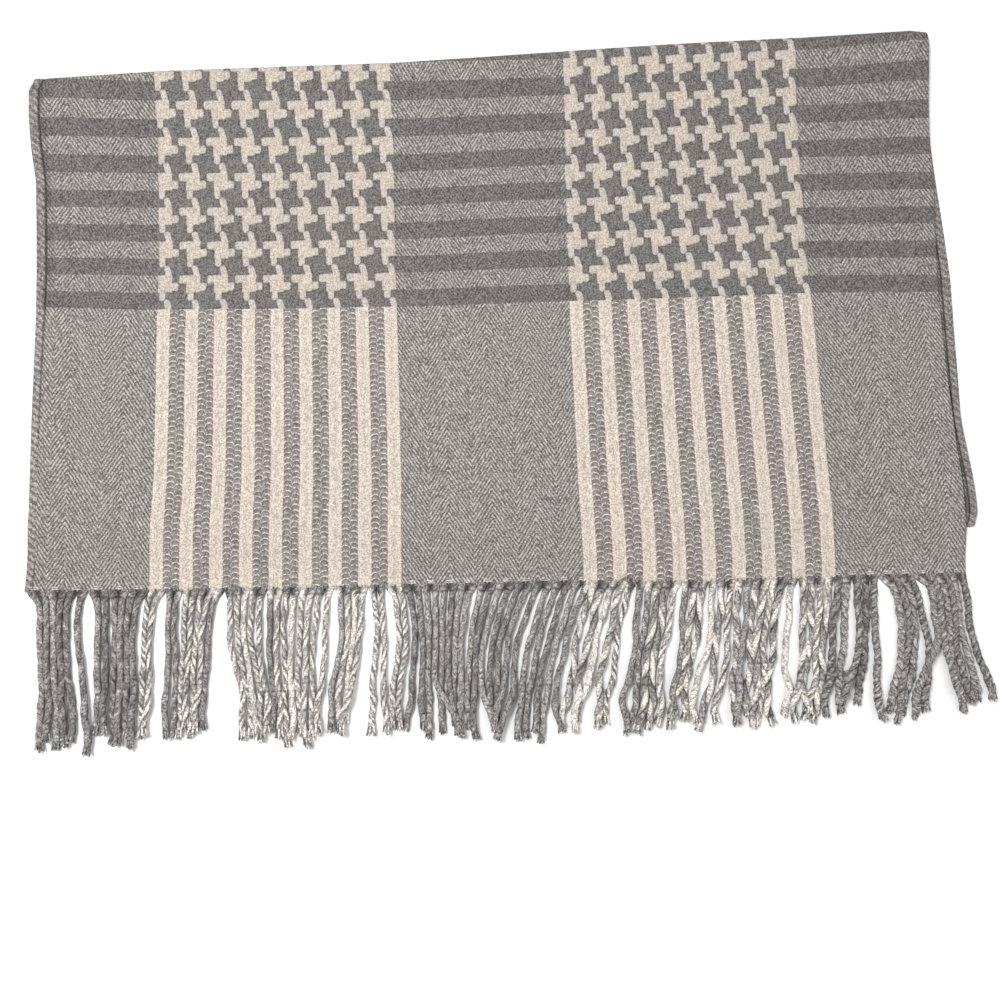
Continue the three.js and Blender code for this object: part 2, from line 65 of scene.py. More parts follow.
# Cloth thickness and folds, as in the part's source
WALL = 1.6
SEAM_GAP = 0.3
STACK_HEIGHT = 3 * WALL + 2 * SEAM_GAP
PANEL_UNDERSIDE = STACK_HEIGHT + SEAM_GAP
TOP_FOLD_RADIUS = (PANEL_UNDERSIDE + WALL) / 2
RETURN_LENGTH = 24
INNER_FOLD_SET_BACK = 3
UNDER_FOLD_RADIUS = (2 * WALL + SEAM_GAP) / 2
UNDER_FOLD_ABOVE_HEM = 35
HIDDEN_END_ABOVE_UNDER_FOLD = 20
SLOPE_START = 6
SLOPE_END = 52

# Sides of the top layer, by the part of the way from the hem to the top fold
SIDES = table(
    "up left right",
    (0, -352, 345.2),
    (0.08, -349.2, 345.4),
    (0.16, -348.5, 343.7),
    (0.24, -348.8, 339.7),
    (0.32, -349, 336.5),
    (0.42, -348.8, 332.4),
    (0.52, -348.6, 329.8),
    (0.62, -349.4, 329.4),
    (0.72, -351, 329.4),
    (0.8, -352.6, 327.4),
    (0.87, -357.4, 327.7),
    (0.93, -360, 328.8),
    (0.985, -360.8, 329.8),
    (1, -357.5, 329),
)

# Hem and top fold, by the part of the way across from the left side
ENDS = table(
    "across hem fold",
    (0, 2, 394.5),
    (0.13, 2.8, 400.6),
    (0.4, 6.5, 407.5),
    (0.58, 9.4, 416.2),
    (0.72, 9.8, 422.5),
    (0.86, 13, 427.8),
    (0.98, 15, 433.4),
    (1, 15.3, 432),
)

# Sides of the layers underneath, by the part of the way up from their lower fold
UNDER_SIDES = table(
    "up left right",
    (0, -345.5, 354.7),
    (0.04, -345.4, 354.7),
    (0.09, -345.3, 352.9),
    (0.15, -345.3, 349),
    (0.21, -345.3, 345.1),
    (0.39, -345.5, 341),
    (0.5, -345.5, 339.3),
    (0.77, -348.5, 329.5),
    (1, -352.5, 325.5),
)
LOWEST_LAYER_STANDS_OUT = 2.2
LOWEST_LAYER_FROM = 0.15
LOWEST_LAYER_TO = 0.8
SECOND_LAYER_SET_BACK = 2.5
UNDER_CORNER_RADIUS = 7

# Soft ridges and troughs of the top layer, as lines across the panel
RIDGES = rows_of(
    "from_x from_y to_x to_y width height",
    (-150, 330, -60, 120, 34, 0.7),
    (0, 380, 40, 90, 30, 0.9),
    (200, 360, 240, 110, 38, 0.8),
    (-300, 300, -290, 90, 30, 0.6),
    (300, 250, 320, 80, 26, 0.6),
    (-30, 230, 15, 60, 20, 0.5),
    (-345, 190, -250, 30, 26, 0.5),
    (60, 400, -40, 250, 24, 0.4),
    (150, 150, 235, 20, 22, 0.4),
    (-215, 390, -120, 300, 22, 0.4),
)

# The weave in cells of the chequer, counted from the left side: plain, block, plain, block, plain
CELL = 5.5
SECTION_STARTS = np.array([0, 16.3, 50.3, 74.8, 108.8, 126.6])
BLOCK_ONE, BLOCK_TWO, LAST_CELL = 16.3, 74.8, 126.6
BLOCK_CELLS = 34
BETWEEN_BLOCKS = (BLOCK_ONE + BLOCK_TWO + BLOCK_CELLS) / 2

# Edges of the two blocks at several places along the cloth
BLOCK_EDGES = ("one_left", "one_right", "two_left", "two_right")
SECTION_EDGES = table(
    "y one_left one_right two_left two_right",
    (25, -259.8, -72.5, 61.3, 248.8),
    (85, -257.1, -72.7, 57.3, 244.2),
    (145, -257.3, -74.6, 54.8, 239.7),
    (207, -257.9, -76.7, 52.1, 235.6),
    (239, -257.1, -78.4, 51.6, 232.2),
    (265, -257.5, -79.2, 50.7, 230.5),
    (292, -258.6, -79.9, 50.2, 229.7),
    (318, -259.5, -80.6, 49.4, 228.4),
    (345, -260.6, -81.4, 49.4, 227.3),
    (372, -263.3, -82.9, 49, 226.4),
    (399, -265.3, -84, 48.4, 226.8),
)

# Bands across the cloth: start of the first dark band, and how the height of a band changes
BANDS = table(
    "x start pitch growth bend",
    (-337, 215.1, 12.8, -0.019, 0.0072),
    (-273, 213.2, 13.16, -0.045, 0.0067),
    (-170, 213.9, 13.18, -0.063, 0.0075),
    (-70, 215.6, 13.19, -0.08, 0.0082),
    (43, 219.4, 13.49, -0.069, 0.0053),
    (150, 222.9, 13.82, -0.125, 0.0077),
    (248, 226.4, 13.65, -0.138, 0.0099),
    (316, 226.9, 13.43, -0.083, 0.0094),
)
BANDS_MEASURED = 13.5
ROWS_PER_BAND = 2
ROW = 6.67
TWILL_PERIODS = 51
TWILL_PERIOD = 4.15
TWILL_PERIODS_PER_ROW = ROW / TWILL_PERIOD
TWILL_SLOPE = 1.985

# Turning points of the herringbone, in cells: low and high points in turn
TWILL_TURNS = table(
    "cell low",
    (2.7, 1), (5, 0), (9.5, 1), (12.2, 0),
    (54.1, 1), (56.8, 0), (60.2, 1), (62.8, 0), (66.2, 1), (68.7, 0), (71.8, 1), (92, 0),
    (113.4, 1), (116.7, 0), (121, 1), (124.2, 0),
)

# Stripes in cells: cream ones and grey ones in turn
CREAM_HALF_WIDTH = 0.93
STRIPE_REPEAT = 4

# Selvedge strip, its groove and the thin edges, in cells. Pairs: places along the weave
STRIP_WIDTH = 1.05
STRIP_WIDENING = 0.2
STRIP_WIDENS = (-12, 6)
GROOVE_HALF_WIDTH = 0.16
GROOVE_DEEPENS = (-34, 4)
EDGE_HALF_WIDTH = 0.09

# Relief of the top layer
CREAM_RIB = 0.42
GREY_RIB = 0.26
CHEQUER_LOW = 0.12
CHEQUER_PUFF = 0.42
STRIP_LIFT = 0.35
STRIP_GROOVE = 0.5
EDGE_THINNING = 0.7

# Steps of the top layer's mesh: its columns in cells, and its rows up to the fold and round it
LEFT_COLUMNS = (0.06, 0.16, 0.4, 0.65)
GROOVE_COLUMNS = STRIP_WIDTH + np.array([-0.2, 0, 0.14, 0.28, 0.42])
RIGHT_COLUMNS = LAST_CELL - np.array([0.4, 0.16, 0.06])
COLUMNS_IN_BLOCK = 3
COLUMNS_IN_PLAIN = 1.9
EVEN_ROWS = 26
STEPS_IN_ROW = 4
FOLD_STEPS = 30
INNER_STEP = 6
INNER_STEP_AT_FOLD = 3
LAST_ROW_GUESS = 33.0
ROW_AT_FOLD = 7.8

# Steps of the hidden layers' mesh, and how far along their path the stripes end
UNDER_WIDTH = 700
UNDER_HALF_WIDTH = 348
UNDER_SIDE_PLACES = np.array([0, 0.3, 0.8, 1.6, 2.6, 3.8, 5.2, 6.6, 7.6, 9])
UNDER_COLUMNS = 56
UNDER_RUN_STEPS = 40
UNDER_FOLD_STEPS = 9
UNDER_STRIPES_END = 217.6

# Fringe, as in the part's source
CORD_FLOOR_GAP = 0.4
CORD_CROSSING_LIFT = 4.8
CORD_CROSSING_HALF_LENGTH = 34
CORD_SMOOTHING = 10
CORD_LENGTH_SPREAD = 4
LENGTH_TURN_PER_CORD = 2.4
LENGTH_TURN_PER_BUNCH = 1.7
NECK_DEPTH = 9
UPPER_LINE = -33
LOWER_LINE = -77

# Ends of the hem that the cords share out
HEM_LEFT = -350
HEM_RIGHT = 345.2

# Shape of a cord. Pairs: how far below the hem a change starts and ends
CORD_RADIUS = 2.2
CORD_SIDES = 12
CORD_ENDS_PAST = 1.2
RING_SPACING = 1.3
ROOT_HEIGHT = 1.15
ROOT_HALF_THICKNESS = 0.95
ROOT_SHARE_OF_PITCH = 0.51
LIES_DOWN = (0, 12)
TAKES_SHAPE = (-1, 10)
TAKES_COLOUR = (3, 11)
LOOSENS = (6, 30)
LOOSENS_MORE = (50, 100)
SWELLS = (55, 95)
SWELLING = 0.14
LOWEST_YARN = 0.25

# Unevenness of a cord: how much, and over what length its sine turns by one
SWAY = 0.7
SWAY_LENGTH = 9.5
QUICK_SWAY_SHARE = 0.4
QUICK_SWAY_LENGTH = 4.1
SECOND_CORD_LIFT = 1.1
RISE = 0.35
RISE_LENGTH = 6.3
BEAD = 0.06
BEAD_LENGTH = 3.1
TWIST_DRIFT = 0.7
TWIST_DRIFT_LENGTH = 15
TURN_SPREAD = (0.75, 1.3)

# Shade between the lobes of a cord and in the dent where the roots of two cords part
GROOVE_SHADE = 3
DENT_SHADE = 0.9
DENT_ROUND = (-0.3, 0.5)
DENT_ENDS = (3.5, 9)

# Loose yarn ends of a cord: places along a strand, and the radius there
TUFT_LENGTH = 6
TUFT_STRANDS = 11
STRAND_OVERLAP = 2.5
STRAND_SIDES = 5
STRAND_PLACES = np.array([0, 0.3, 0.62, 0.9, 1])
STRAND_RADII = np.array([0.9, 1, 1.05, 0.95, 0.5])
STRAND_TURN = 0.382

# Kinds of cord: grey, thick grey, mixed, loose wide mix, cream. Yarns: grey at 0, cream at 1
YARNS = 6
KINDS = {row["kind"]: row for row in rows_of(
    "kind yarns turn lobes width",
    ("g", (0, 0, 0, 0, 0, 0), 20, 0.16, 1),
    ("t", (0, 0, 0, 0, 0, 0), 14, 0.26, 1.3),
    ("m", (1, 0.1, 0.85, 0.1, 0.6, 0.15), 24, 0.2, 1),
    ("w", (1, 0.95, 0.3, 0, 0.1, 0.5), 27, 0.28, 1.16),
    ("c", (1, 0.6, 1, 0.5, 1, 0.9), 22, 0.18, 1),
)}

# Stretches of the fringe: ends on the hem, sway, thickness beside the usual, kinds of the cords
FRINGE_SECTIONS = rows_of(
    "name start end waver thick kinds",
    ("fringe_grey_left", HEM_LEFT, -259.6, 0.7, 1.14, "g" * 12),
    ("fringe_mixed_left", -259.6, -72.7, 0.8, 1, "mmggmmmmgmmcmmgmmcmmmmgmcmmmmm"),
    ("fringe_grey_centre", -72.7, 61.3, 0.6, 1.06, "g" * 19),
    ("fringe_mixed_right", 61.3, 247.5, 1.5, 1.08, "gwwcwmggwwmgwwcwmwgwwmwcwwmw"),
    ("fringe_grey_right", 247.5, HEM_RIGHT, 1.1, 1, "t" * 15),
)

# Bunches of cords: neck is the share of the way to the upper line, crossing a depth, 0 for none
BUNCHES = table(
    "cords neck upper_first upper_last lower_first lower_last reach drift crossing",
    (5, 0.85, -338, -320, -335.5, -313.5, 112, 1, 0),
    (1, 0.8, -311, -311, -302.5, -302.5, 114, 2, 0),
    (2, 0.9, -296, -290, -294.5, -288.5, 105, -1, 0),
    (4, 0.8, -283.5, -270, -283, -268, 110, 0, 0),
    (2, 0.75, -262, -257.5, -261.5, -257, 108, -2, 0),
    (2, 1, -244, -239.5, -244.5, -236, 108, -3, 0),
    (5, 0.6, -233, -215, -233.5, -216, 104, -2, 0),
    (4, 0.6, -198.5, -184, -187.5, -174.5, 107, 1, 0),
    (2, 0.8, -178, -170, -170, -165.5, 106, 0, 0),
    (3, 0.6, -165, -154, -161, -152, 112, 1, 0),
    (3, 0.6, -148, -137, -147.5, -138.5, 111, 2, 0),
    (1, 1, -128, -128, -132, -132, 102, -1, 0),
    (4, 0.7, -116.5, -103, -124, -108, 103, 0, 0),
    (2, 0.4, -90, -85.5, -94.5, -84.5, 109, 1, 0),
    (2, 0.7, -74, -69, -78.5, -73.5, 105, -2, 0),
    (1, 0.5, -62, -62, -65.5, -65.5, 101, -4, 0),
    (7, 0.5, -57, -28.5, -57, -29, 107, 1, 0),
    (3, 0.3, -22, -12.5, -24, -15, 109, 2, 0),
    (3, 0.3, -6.5, 5, -8, 2, 104, 3, 0),
    (1, 0.3, 12.5, 12.5, 8, 8, 110, -11, 100),
    (4, 0.3, 21.5, 42, 14, 32, 112, -1, 0),
    (1, 0.2, 47, 47, 41, 41, 103, 1, 0),
    (5, 0.35, 56.5, 86, 48.5, 79, 106, -2, 0),
    (5, 0.4, 99.5, 121.5, 91, 115, 107, 0, 0),
    (3, 0.4, 134, 144, 120, 134, 103, -3, 0),
    (3, 0.4, 154, 167, 141, 160, 105, -4, 0),
    (4, 0.4, 173, 189, 171.5, 185.5, 103, 1, 0),
    (2, 0.4, 194.5, 199.5, 191, 196, 108, 0, 0),
    (1, 0.5, 210, 210, 210, 210, 96, -5, 0),
    (4, 0.4, 223, 238.5, 216, 231.5, 102, 0, 0),
    (1, 0.2, 244, 244, 239, 239, 97, -2, 0),
    (1, 0.3, 252, 252, 248, 248, 95, 1, 0),
    (2, 0.5, 264, 269.5, 255, 260, 95, 3, 0),
    (1, 0.5, 275.5, 275.5, 277, 277, 101, 2, 0),
    (3, 0.6, 297.5, 307, 285.5, 295, 103, 0, 0),
    (1, 0.35, 315, 315, 311, 311, 95, 1, 0),
    (1, 0.9, 321, 321, 301.5, 301.5, 102, 1, 66),
    (3, 0.8, 326, 335, 330.5, 342, 96, 3, 0),
    (2, 0.3, 340, 347, 351.5, 360.5, 93, 5, 0),
)

# Cords that stray over their neighbours near their tips, counted from 0 at the left
STRAYS = table(
    "cord stray from_depth",
    (14, 4, 60),
    (37, -7, 45),
    (45, 19, 62),
    (47, 9, 66),
    (52, 12, 70),
    (55, -9, 72),
    (64, -8, 40),
    (72, 9, 38),
    (79, -7, 50),
    (91, -9, 62),
    (99, 7, 55),
)
STRAY_LIFT = 3.2
STRAY_FULL_LIFT = 4
STRAY_RUN_ON = 8

# Loose weft ends at the hem, as curves with two pulls. Yarn: grey at 0, cream at 1
LOOSE_ENDS = rows_of(
    "from_x from_y pull_x pull_y push_x push_y to_x to_y height radius cream",
    (-243, 5, -239, 6.5, -235.5, 2, -231, 0, 4, 0.55, 0),
    (-198.5, 7, -194, 8, -192, 4.5, -187.5, 3.5, 3.6, 0.6, 0),
    (-159.5, 2, -156.5, 8, -150.5, 7, -149, 2, 3.8, 0.7, 0),
    (-104, 4, -112, 2, -108, -6, -104.5, 0.5, 4.4, 0.7, 1),
    (87, 6, 89, 14, 98, 15, 101, 6, 4.2, 0.9, 0),
    (166, 9, 170, 14, 176, 13, 178, 7, 4, 0.7, 0.6),
    (233, -54, 240, -60, 249, -58, 259, -55, 8.4, 1.5, 0),
)
LOOSE_END_RINGS = 22
LOOSE_END_SIDES = 7
LOOSE_END_WEAVE = 16

# Place of the table frame in the row frame, from the one node whose ends are known
PANEL_LOW = np.array(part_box("top_panel")[0])
SHIFT = np.array([
    PANEL_LOW[0] / MM - SIDES["left"].min(),
    PANEL_LOW[1] / MM - ENDS["hem"].min(),
    0,
])


def smooth(value, low, high):
    """Rise from 0 at low to 1 at high, level at both ends."""
    share = np.clip((value - low) / (high - low), 0, 1)
    return share * share * (3 - 2 * share)


def hem_at(x):
    """The hem's place along the cloth, straight between the rows of ENDS."""
    across = (x - SIDES["left"][0]) / (SIDES["right"][0] - SIDES["left"][0])
    return np.interp(across, ENDS["across"], ENDS["hem"])


def fold_at(x):
    """The top fold's place along the cloth, straight between the rows of ENDS."""
    across = (x - SIDES["left"][-1]) / (SIDES["right"][-1] - SIDES["left"][-1])
    return np.interp(across, ENDS["across"], ENDS["fold"])


def ridge_height(x, y):
    """Sum of soft bumps: each is a cosine squared across its line and a half sine along it."""
    total = np.zeros_like(x)
    for x0, y0, x1, y1, width, height in (ridge.values() for ridge in RIDGES):
        length = math.hypot(x1 - x0, y1 - y0)
        share = ((x - x0) * (x1 - x0) + (y - y0) * (y1 - y0)) / length**2
        away = np.abs((x - x0) * (y1 - y0) - (y - y0) * (x1 - x0)) / length / width
        profile = np.cos(np.clip(away, 0, 1) * math.pi / 2) ** 2
        total += height * profile * np.sin(np.clip(share, 0, 1) * math.pi)
    return total


def placed(name, data, place=(0, 0, 0), turn=(0, 0, 0)):
    """A new object in the scene."""
    piece = bpy.data.objects.new(name, data)
    piece.location = place
    piece.rotation_euler = turn
    bpy.context.scene.collection.objects.link(piece)
    return piece


def mesh_piece(name, points, faces, weave, attributes, tube=False):
    """A smooth mesh object from points on the table, with its own UV map and attributes. On a
    tube the first coordinate runs on past 1 in the last faces of the round."""
    mesh = bpy.data.meshes.new(name)
    mesh.from_pydata(((points + SHIFT) * MM).tolist(), [], faces)
    mesh.update()
    mesh.shade_smooth()
    corners = np.empty(len(mesh.loops), dtype=np.int32)
    mesh.loops.foreach_get("vertex_index", corners)
    places = weave[corners]
    if tube:
        counts = [len(face) for face in faces]
        starts = np.concatenate([[0], np.cumsum(counts)[:-1]])
        highest = np.repeat(np.maximum.reduceat(places[:, 0], starts), counts)
        places[:, 0] += highest - places[:, 0] > 0.5
    layer = mesh.uv_layers.new(name="weave")
    layer.data.foreach_set("uv", places.astype(np.float32).ravel())
    for label, values in attributes.items():
        attribute = mesh.attributes.new(label, "FLOAT", "POINT")
        attribute.data.foreach_set("value", values.astype(np.float32))
    piece = placed(name, mesh)
    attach(piece, "root")
    return piece


def grid_faces(rows, columns, first=0, turned=False):
    """Quads of a grid of points, numbered row by row from first."""
    corner = first + np.arange(rows * columns).reshape(rows, columns)
    quads = np.stack(
        [corner[:-1, :-1], corner[:-1, 1:], corner[1:, 1:], corner[1:, :-1]], axis=-1
    ).reshape(-1, 4)
    return (quads[:, ::-1] if turned else quads).tolist()


def rim_faces(outer, inner, picks):
    """Faces between an edge of a fine grid and the same edge of an inner grid on picked rows."""
    return [
        [*outer[start:end + 1].tolist(), int(inner[place + 1]), int(inner[place])]
        for place, (start, end) in enumerate(zip(picks[:-1], picks[1:]))
    ]


def shell_faces(rows, columns, row_picks, column_picks):
    """Faces of a closed sheet: a fine outer grid, an inner grid on picked rows and columns,
    and a strip of faces along each of the four edges that joins the two."""
    outer = np.arange(rows * columns).reshape(rows, columns)
    picked = (len(row_picks), len(column_picks))
    inner = rows * columns + np.arange(picked[0] * picked[1]).reshape(picked)
    faces = grid_faces(rows, columns) + grid_faces(*picked, first=rows * columns, turned=True)
    hem, far = (rim_faces(outer[edge], inner[edge], column_picks) for edge in (0, -1))
    left, right = (rim_faces(outer[:, edge], inner[:, edge], row_picks) for edge in (0, -1))
    for first, last in zip(hem, far):
        faces += [first[::-1], last]
    for first, last in zip(left, right):
        faces += [first, last[::-1]]
    return faces


def turns_at(across):
    """The herringbone's shift along the cloth: a zigzag, low and high at its turning points."""
    cells = np.concatenate([[0], TWILL_TURNS["cell"], [LAST_CELL]])
    heading = np.where(np.concatenate([TWILL_TURNS["low"], [1]]) > 0, -1, 1)
    steps = np.diff(cells) * TWILL_SLOPE * heading
    return np.interp(across, cells, np.concatenate([[0], np.cumsum(steps)]))


def cords_at(across):
    """How many cords of the fringe lie to the left of a place across the cloth."""
    counts = np.cumsum([0] + [len(section["kinds"]) for section in FRINGE_SECTIONS])
    return np.interp(across, SECTION_STARTS, counts)


def cell_in_block(across):
    """Cells from the left edge of the block that a place lies in, and whether it lies in one."""
    cell = across - np.where(across > BETWEEN_BLOCKS, BLOCK_TWO, BLOCK_ONE)
    return cell, ((cell > 0) & (cell < BLOCK_CELLS)).astype(float)


def strip_place(across, along):
    """Cells from the left edge, less where the strip is wider, so its groove keeps one value."""
    return across * (1 - STRIP_WIDENING * smooth(along, *STRIP_WIDENS))


def weave_relief(across, along):
    """Height of the weave: puffed cells in the chequer, ribs in the stripes, the groove and the
    rounded strip at the left side, and thin rounded edges."""
    cell, block = cell_in_block(across)
    wave = np.abs(np.sin(math.pi * cell))
    cream = np.mod(cell, STRIPE_REPEAT) < STRIPE_REPEAT / 2
    stripes = wave**0.6 * np.where(cream, CREAM_RIB, GREY_RIB)
    puff = wave**0.5 * np.abs(np.sin(math.pi * along)) ** 0.5
    relief = block * np.where(along < 0, stripes, CHEQUER_LOW + CHEQUER_PUFF * puff)
    from_edge = strip_place(across, along)
    groove = np.exp(-((from_edge - STRIP_WIDTH) / GROOVE_HALF_WIDTH) ** 2)
    depth = STRIP_GROOVE * (0.45 + 0.55 * smooth(along, *GROOVE_DEEPENS))
    strip = STRIP_LIFT * np.sin(math.pi * np.clip(from_edge / STRIP_WIDTH, 0, 1))
    relief += strip - groove * depth
    edge = np.minimum(across, LAST_CELL - across)
    return relief - EDGE_THINNING * np.exp(-(edge / EDGE_HALF_WIDTH) ** 2)


def band_place(x, along):
    """Where a row of the weave lies: above the first dark band a cubic of the band count, which
    runs on straight; below, rows share the way to the hem evenly."""
    start, pitch, growth, bend = (
        np.interp(x, BANDS["x"], BANDS[name]) for name in ("start", "pitch", "growth", "bend")
    )
    bands = np.clip(along / ROWS_PER_BAND, 0, None)
    known = np.minimum(bands, BANDS_MEASURED)
    cubic = start + known * (pitch + known * (growth + known * bend))
    last_pitch = pitch + BANDS_MEASURED * (2 * growth + 3 * BANDS_MEASURED * bend)
    upper = cubic + (bands - known) * last_pitch
    lower = start + (start - hem_at(x)) * along / TWILL_PERIODS
    return np.where(along < 0, lower, upper)


def panel_place(across, along):
    """Place of the top layer's weave, with the part of the way past the flat stretch. Its two
    sides follow SIDES, its blocks SECTION_EDGES, and its rows BANDS."""
    section = np.clip(np.searchsorted(SECTION_STARTS, across, side="right") - 1, 0, 4)
    width = SECTION_STARTS[section + 1] - SECTION_STARTS[section]
    share = (across - SECTION_STARTS[section]) / width
    x = HEM_LEFT + across * CELL
    for _ in range(4):
        y = band_place(x, along)
        hem = hem_at(x)
        flat_end = fold_at(x) - TOP_FOLD_RADIUS
        up = np.clip((y - hem) / (flat_end - hem), 0, 1)
        level = np.minimum(y, flat_end)
        edges = np.stack([
            np.interp(up, SIDES["up"], SIDES["left"]),
            *(np.interp(level, SECTION_EDGES["y"], SECTION_EDGES[name]) for name in BLOCK_EDGES),
            np.interp(up, SIDES["up"], SIDES["right"]),
        ])
        start = np.take_along_axis(edges, section[None], 0)[0]
        end = np.take_along_axis(edges, section[None] + 1, 0)[0]
        x = start + share * (end - start)
    return x, y, hem, flat_end


def panel_points(across, along, lift):
    """Points of the top layer, lift above its underside: flat, then round the top fold as a half
    circle, then back along the table."""
    x, y, hem, flat_end = panel_place(across, along)
    past = np.clip(y - flat_end, 0, None)
    turn = np.clip(past / TOP_FOLD_RADIUS, 0, math.pi)
    beyond = np.clip(past - math.pi * TOP_FOLD_RADIUS, 0, None)
    relief_share = np.cos(turn / 2) ** 2
    lift = np.minimum(lift, WALL) + np.clip(lift - WALL, 0, None) * relief_share
    radius = TOP_FOLD_RADIUS - WALL + lift
    under = PANEL_UNDERSIDE * smooth(y - hem, SLOPE_START, SLOPE_END) + ridge_height(x, y)
    round_fold = TOP_FOLD_RADIUS + radius * np.cos(turn)
    z = np.where(past > 0, round_fold, under + lift)
    place = np.minimum(y, flat_end) + radius * np.sin(turn) - beyond
    return np.stack([x, place, z], axis=-1)


def woven_piece(name, points, faces, across, along, strip):
    """A piece of the cloth, with its place in the weave as UV map and what follows from it."""
    attributes = {"turns": turns_at(across), "strip": strip, "cords": cords_at(across)}
    return mesh_piece(name, points, faces, np.stack([across, along], axis=-1), attributes)


def top_cloth():
    """The layer that shows, its top fold and its short return, as one closed sheet. Columns lie
    closer together in the blocks, rows above the first dark band."""
    knots = np.unique(np.concatenate([
        SECTION_STARTS, TWILL_TURNS["cell"], LEFT_COLUMNS, GROOVE_COLUMNS, RIGHT_COLUMNS,
    ]))
    columns = [knots[:1]]
    for start, end in zip(knots[:-1], knots[1:]):
        block = cell_in_block(np.array([(start + end) / 2]))[1][0]
        steps = max(1, round((end - start) * (COLUMNS_IN_BLOCK if block else COLUMNS_IN_PLAIN)))
        columns.append(np.linspace(start, end, steps + 1)[1:])
    columns = np.concatenate(columns)

    lower = np.linspace(-TWILL_PERIODS, 0, 2 * TWILL_PERIODS + 1)
    bands = np.linspace(0, EVEN_ROWS, STEPS_IN_ROW * EVEN_ROWS + 1)[1:]
    target = math.pi * TOP_FOLD_RADIUS + RETURN_LENGTH
    last = np.full_like(columns, LAST_ROW_GUESS)
    for _ in range(6):
        _, y, _, flat_end = panel_place(columns, last)
        last += (flat_end + target - y) / ROW_AT_FOLD
    share = np.linspace(0, 1, FOLD_STEPS + 1)[1:]
    along = np.concatenate([
        np.repeat(np.concatenate([lower, bands])[:, None], len(columns), axis=1),
        EVEN_ROWS + share[:, None] * (last[None] - EVEN_ROWS),
    ])
    across = np.repeat(columns[None], len(along), axis=0)
    rows = len(along)

    fold = rows - FOLD_STEPS
    row_picks = sorted({*range(0, fold, INNER_STEP), *range(fold, rows, INNER_STEP_AT_FOLD),
                        rows - 1})
    column_picks = sorted({*range(0, len(columns), INNER_STEP), len(columns) - 1})
    thin = np.ix_(row_picks, column_picks)
    outer = panel_points(across, along, WALL + weave_relief(across, along))
    inner = panel_points(across[thin], along[thin], np.zeros_like(across[thin]))
    points = np.concatenate([outer.reshape(-1, 3), inner.reshape(-1, 3)])
    faces = shell_faces(rows, len(columns), row_picks, column_picks)
    across, along = (np.concatenate([v.ravel(), v[thin].ravel()]) for v in (across, along))
    return woven_piece("top_cloth", points, faces, across, along, strip_place(across, along))


def under_rows():
    """The path of the three hidden layers, row by row: how much each row follows the top fold
    rather than the lower fold, its distance from there, its height, its normal and its layer."""
    middle = WALL / 2
    bend = UNDER_FOLD_RADIUS - middle
    heights = [middle, middle + WALL + SEAM_GAP, middle + 2 * (WALL + SEAM_GAP)]
    return_end = -(TOP_FOLD_RADIUS + RETURN_LENGTH)
    inner_fold = -(TOP_FOLD_RADIUS + INNER_FOLD_SET_BACK)
    run = np.linspace(0, 1, UNDER_RUN_STEPS + 1)
    bow = np.linspace(0, math.pi, UNDER_FOLD_STEPS + 1)[1:-1]
    out, up = np.sin(bow), np.cos(bow)
    pieces = (
        (1 - run, return_end + run * (UNDER_FOLD_RADIUS - return_end), heights[0], 0, -1, 0),
        (0, UNDER_FOLD_RADIUS - bend * out, UNDER_FOLD_RADIUS - bend * up, -out, -up, 0.5),
        (run, UNDER_FOLD_RADIUS + run * (inner_fold - UNDER_FOLD_RADIUS), heights[1], 0, 1, 1),
        (1, inner_fold + bend * out, STACK_HEIGHT - UNDER_FOLD_RADIUS - bend * up, -out, up, 1.5),
        (1 - run, inner_fold + run * (HIDDEN_END_ABOVE_UNDER_FOLD - inner_fold), heights[2],
         0, -1, 2),
    )
    return np.concatenate([np.broadcast_arrays(*piece) for piece in pieces], axis=1)


def under_right(up, layer, y):
    """Right side of a hidden layer: the lowest stands out, the highest keeps back."""
    side = np.interp(up, UNDER_SIDES["up"], UNDER_SIDES["right"])
    share = np.clip((up - LOWEST_LAYER_FROM) / (LOWEST_LAYER_TO - LOWEST_LAYER_FROM), 0, 1)
    stand_out = LOWEST_LAYER_STANDS_OUT * np.sin(share * math.pi)
    panel_up = (y - ENDS["hem"][-1]) / (ENDS["fold"][-1] - ENDS["hem"][-1])
    panel_side = np.interp(panel_up, SIDES["up"], SIDES["right"]) - SECOND_LAYER_SET_BACK
    second = side + stand_out * np.clip(1 - layer, 0, 1)
    return np.where(layer > 1.4, np.minimum(side, panel_side), second)


